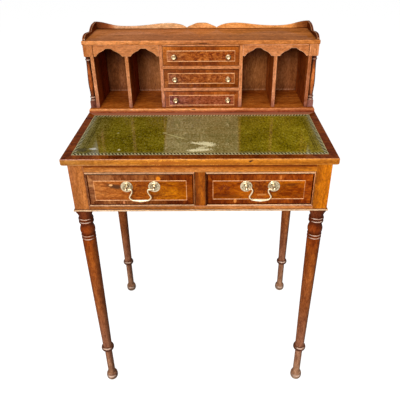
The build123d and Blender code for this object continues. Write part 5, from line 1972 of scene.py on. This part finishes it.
@dataclass
class UpperCase:
    """The upper part: base, sides, pigeonholes, nest of drawers, arches, shelf and gallery."""

    arris: float = 0.0008
    board_arris: float = 0.0014
    shelf_arris: float = 0.0015
    panel_arris: float = 0.0003
    joint_x: float = 0.2785
    rail_round: float = 0.0026
    gallery_round: float = 0.0016

    def build(self) -> None:
        """Eases and dresses every board of the upper part, some with more woods on some faces."""
        sills = (UPPER_BASE_WOOD.material(Grain.ACROSS_DESK), lambda centre, normal: normal.z < 0.9)
        fronts = (FRONT_WOOD.material(Grain.UPRIGHT), lambda centre, normal: normal.y < -0.3)
        outsides = (OUTER_WOOD.material(Grain.UPRIGHT, 2.0), looks_out)
        joints = (JOINT_AND_SHADE_WOOD.material(Grain.UPRIGHT), self.at_joint)
        shelf_top = (SHELF_TOP_WOOD.material(Grain.ACROSS_DESK), looks_up)
        plan = (
            ("upper_base_board", self.board_arris, FLOOR_WOOD, 3, 0.3, sills),
            ("upper_sides", self.arris, INNER_WOOD, 2, 0.1, fronts, outsides),
            ("upper_back_panel", self.panel_arris, PANEL_WOOD, 1, 0.0),
            ("pigeonhole_dividers", self.arris, INNER_WOOD, 2, 0.1, fronts),
            ("nest_sides", self.board_arris, INNER_WOOD, 3, 0.1, fronts),
            ("nest_rails", self.rail_round, NEST_RAIL_WOOD, 4, 0.2),
            ("valances", self.arris, UPPER_WOOD, 2, 0.7, joints),
            ("frieze_blocks", self.arris, UPPER_WOOD, 2, 0.3, joints),
            ("top_shelf", self.shelf_arris, SHELF_WOOD, 3, 0.2, shelf_top),
            ("gallery_back", self.gallery_round, GALLERY_WOOD, 3, 0.3),
            ("gallery_sides", self.gallery_round, TOP_WOOD, 3, 0.3, outsides),
        )
        for place, (node, width, wood, segments, rub_and_highlight, *layers) in enumerate(plan):
            piece = fine_boards(node, width, wood, place * 1.9, segments, rub_and_highlight)
            if wood is PANEL_WOOD:
                dress(piece, PANEL_WOOD.material(Grain.UPRIGHT))
            for material, wanted in layers:
                face_with(piece, material, wanted)
            fit_out(piece, node)

    def at_joint(self, centre: Vector, normal: Vector) -> bool:
        """Whether a face lies on an arris between a frieze block and a valance."""
        return abs(abs(centre.x) - self.joint_x) < self.arris and normal.y < -0.1 and abs(normal.x) > 0.1


# The picture


@dataclass
class Studio:
    """The floor, the lamps, the pale surroundings and the camera of the photograph."""

    lens: float = 41.99
    shift: float = -0.0269
    place: Triple = (0.02772, -1.15544, 1.21057)
    pitch: float = 30.908
    yaw: float = -0.219
    roll: float = -0.344
    floor_span: float = 30.0
    aim: Triple = (0.0, 0.0, 0.6)
    room_light: float = 0.20
    floor_light: float = 0.92

    def camera(self) -> None:
        """Sets the camera where the photograph was taken."""
        take()
        bpy.ops.object.camera_add(location=self.place)
        camera = bpy.context.object
        camera.name = "camera"
        camera.data.lens = self.lens
        camera.data.shift_x = self.shift
        turns = ((-self.yaw, "Z"), (90 - self.pitch, "X"), (self.roll, "Z"))
        yaw, pitch, roll = (Matrix.Rotation(math.radians(angle), 4, axis) for angle, axis in turns)
        camera.rotation_euler = (yaw @ pitch @ roll).to_euler()
        bpy.context.scene.camera = camera

    def lamp(self, name: str, place: Triple, size: float, power: float) -> None:
        """Adds a large soft lamp that faces the desk.

        Args:
            name: its name.
            place: where it hangs.
            size: the side of its square.
            power: its light, in watts.
        """
        take()
        bpy.ops.object.light_add(type="AREA", location=place)
        lamp = bpy.context.object
        lamp.name = name
        lamp.data.size = size
        lamp.data.energy = power
        lamp.rotation_euler = (Vector(self.aim) - Vector(place)).to_track_quat("-Z", "Y").to_euler()

    def seen_white(self, tree: Tree) -> Grey:
        """1 for rays from the camera or by way of gloss or glass, and 0 for light on the desk.

        Args:
            tree: the node tree that asks.

        Returns:
            The value.
        """
        path = add_node(tree, "LightPath")
        gloss, glass = (path.outputs[f"Is {way} Ray"] for way in ("Glossy", "Transmission"))
        return Grey(path.outputs["Is Camera Ray"]).by("MAXIMUM", gloss).by("MAXIMUM", glass)

    def surroundings(self) -> None:
        """Makes the pale room light, which is seen as white."""
        world = bpy.data.worlds.new("room")
        bpy.context.scene.world = world
        world.use_nodes = True
        ends = {"Value": self.seen_white(world.node_tree), "To Min": self.room_light, "To Max": 1.0}
        strength = add_node(world.node_tree, "MapRange", ends).outputs["Result"]
        feed(world.node_tree.nodes["Background"], {"Strength": strength, "Color": (1, 1, 1)})

    def floor(self) -> None:
        """Lays a white floor that keeps the desk's soft shadow."""
        take()
        bpy.ops.mesh.primitive_plane_add(size=self.floor_span, location=(0, 0, 0))
        floor = bpy.context.object
        floor.name = "floor"
        paint = Paint("white_floor")
        material = paint.coloured((0.8, 0.8, 0.8), 0.9)
        lit = paint.node("Emission", {"Strength": self.floor_light}).outputs[0]
        dull = paint.node("BsdfDiffuse", {"Color": (0.35, 0.35, 0.35)}).outputs[0]
        glow = paint.node("AddShader", {0: lit, 1: dull}).outputs[0]
        ways = {"Fac": self.seen_white(material.node_tree), 1: paint.shader.outputs[0], 2: glow}
        feed(paint.output, {"Surface": paint.node("MixShader", ways).outputs[0]})
        dress(floor, material)

    def build(self) -> None:
        """Sets up everything round the desk."""
        bpy.context.scene.view_settings.view_transform = "Standard"
        self.surroundings()
        self.floor()
        self.lamp("front_window", (-0.6, -3.0, 2.1), 1.1, 88.0)
        self.lamp("ceiling", (0.4, -0.6, 3.3), 2.4, 32.0)
        self.camera()


def main() -> None:
    """Builds the desk over its frame, and the studio round it."""
    logging.basicConfig(level=logging.INFO, format="%(message)s")
    Studio().build()
    Legs().build()
    Carcass().build()
    Desktop().build()
    LongDrawer("left_drawer", 0.6457, 0.6988, left_inset=0.0140, right_inset=0.0155).build()
    LongDrawer("right_drawer", 0.6480, 0.6980, 0.9, left_inset=0.0126, right_inset=0.0184).build()
    UpperCase().build()
    Columns().build()
    SmallDrawer("bottom_small_drawer", 0.7780, 0.8070, 0.3).build()
    SmallDrawer("middle_small_drawer", 0.8380, 0.8663, 1.6).build()
    SmallDrawer("top_small_drawer", 0.8962, 0.9244, 2.9).build()


if __name__ == "__main__":
    main()
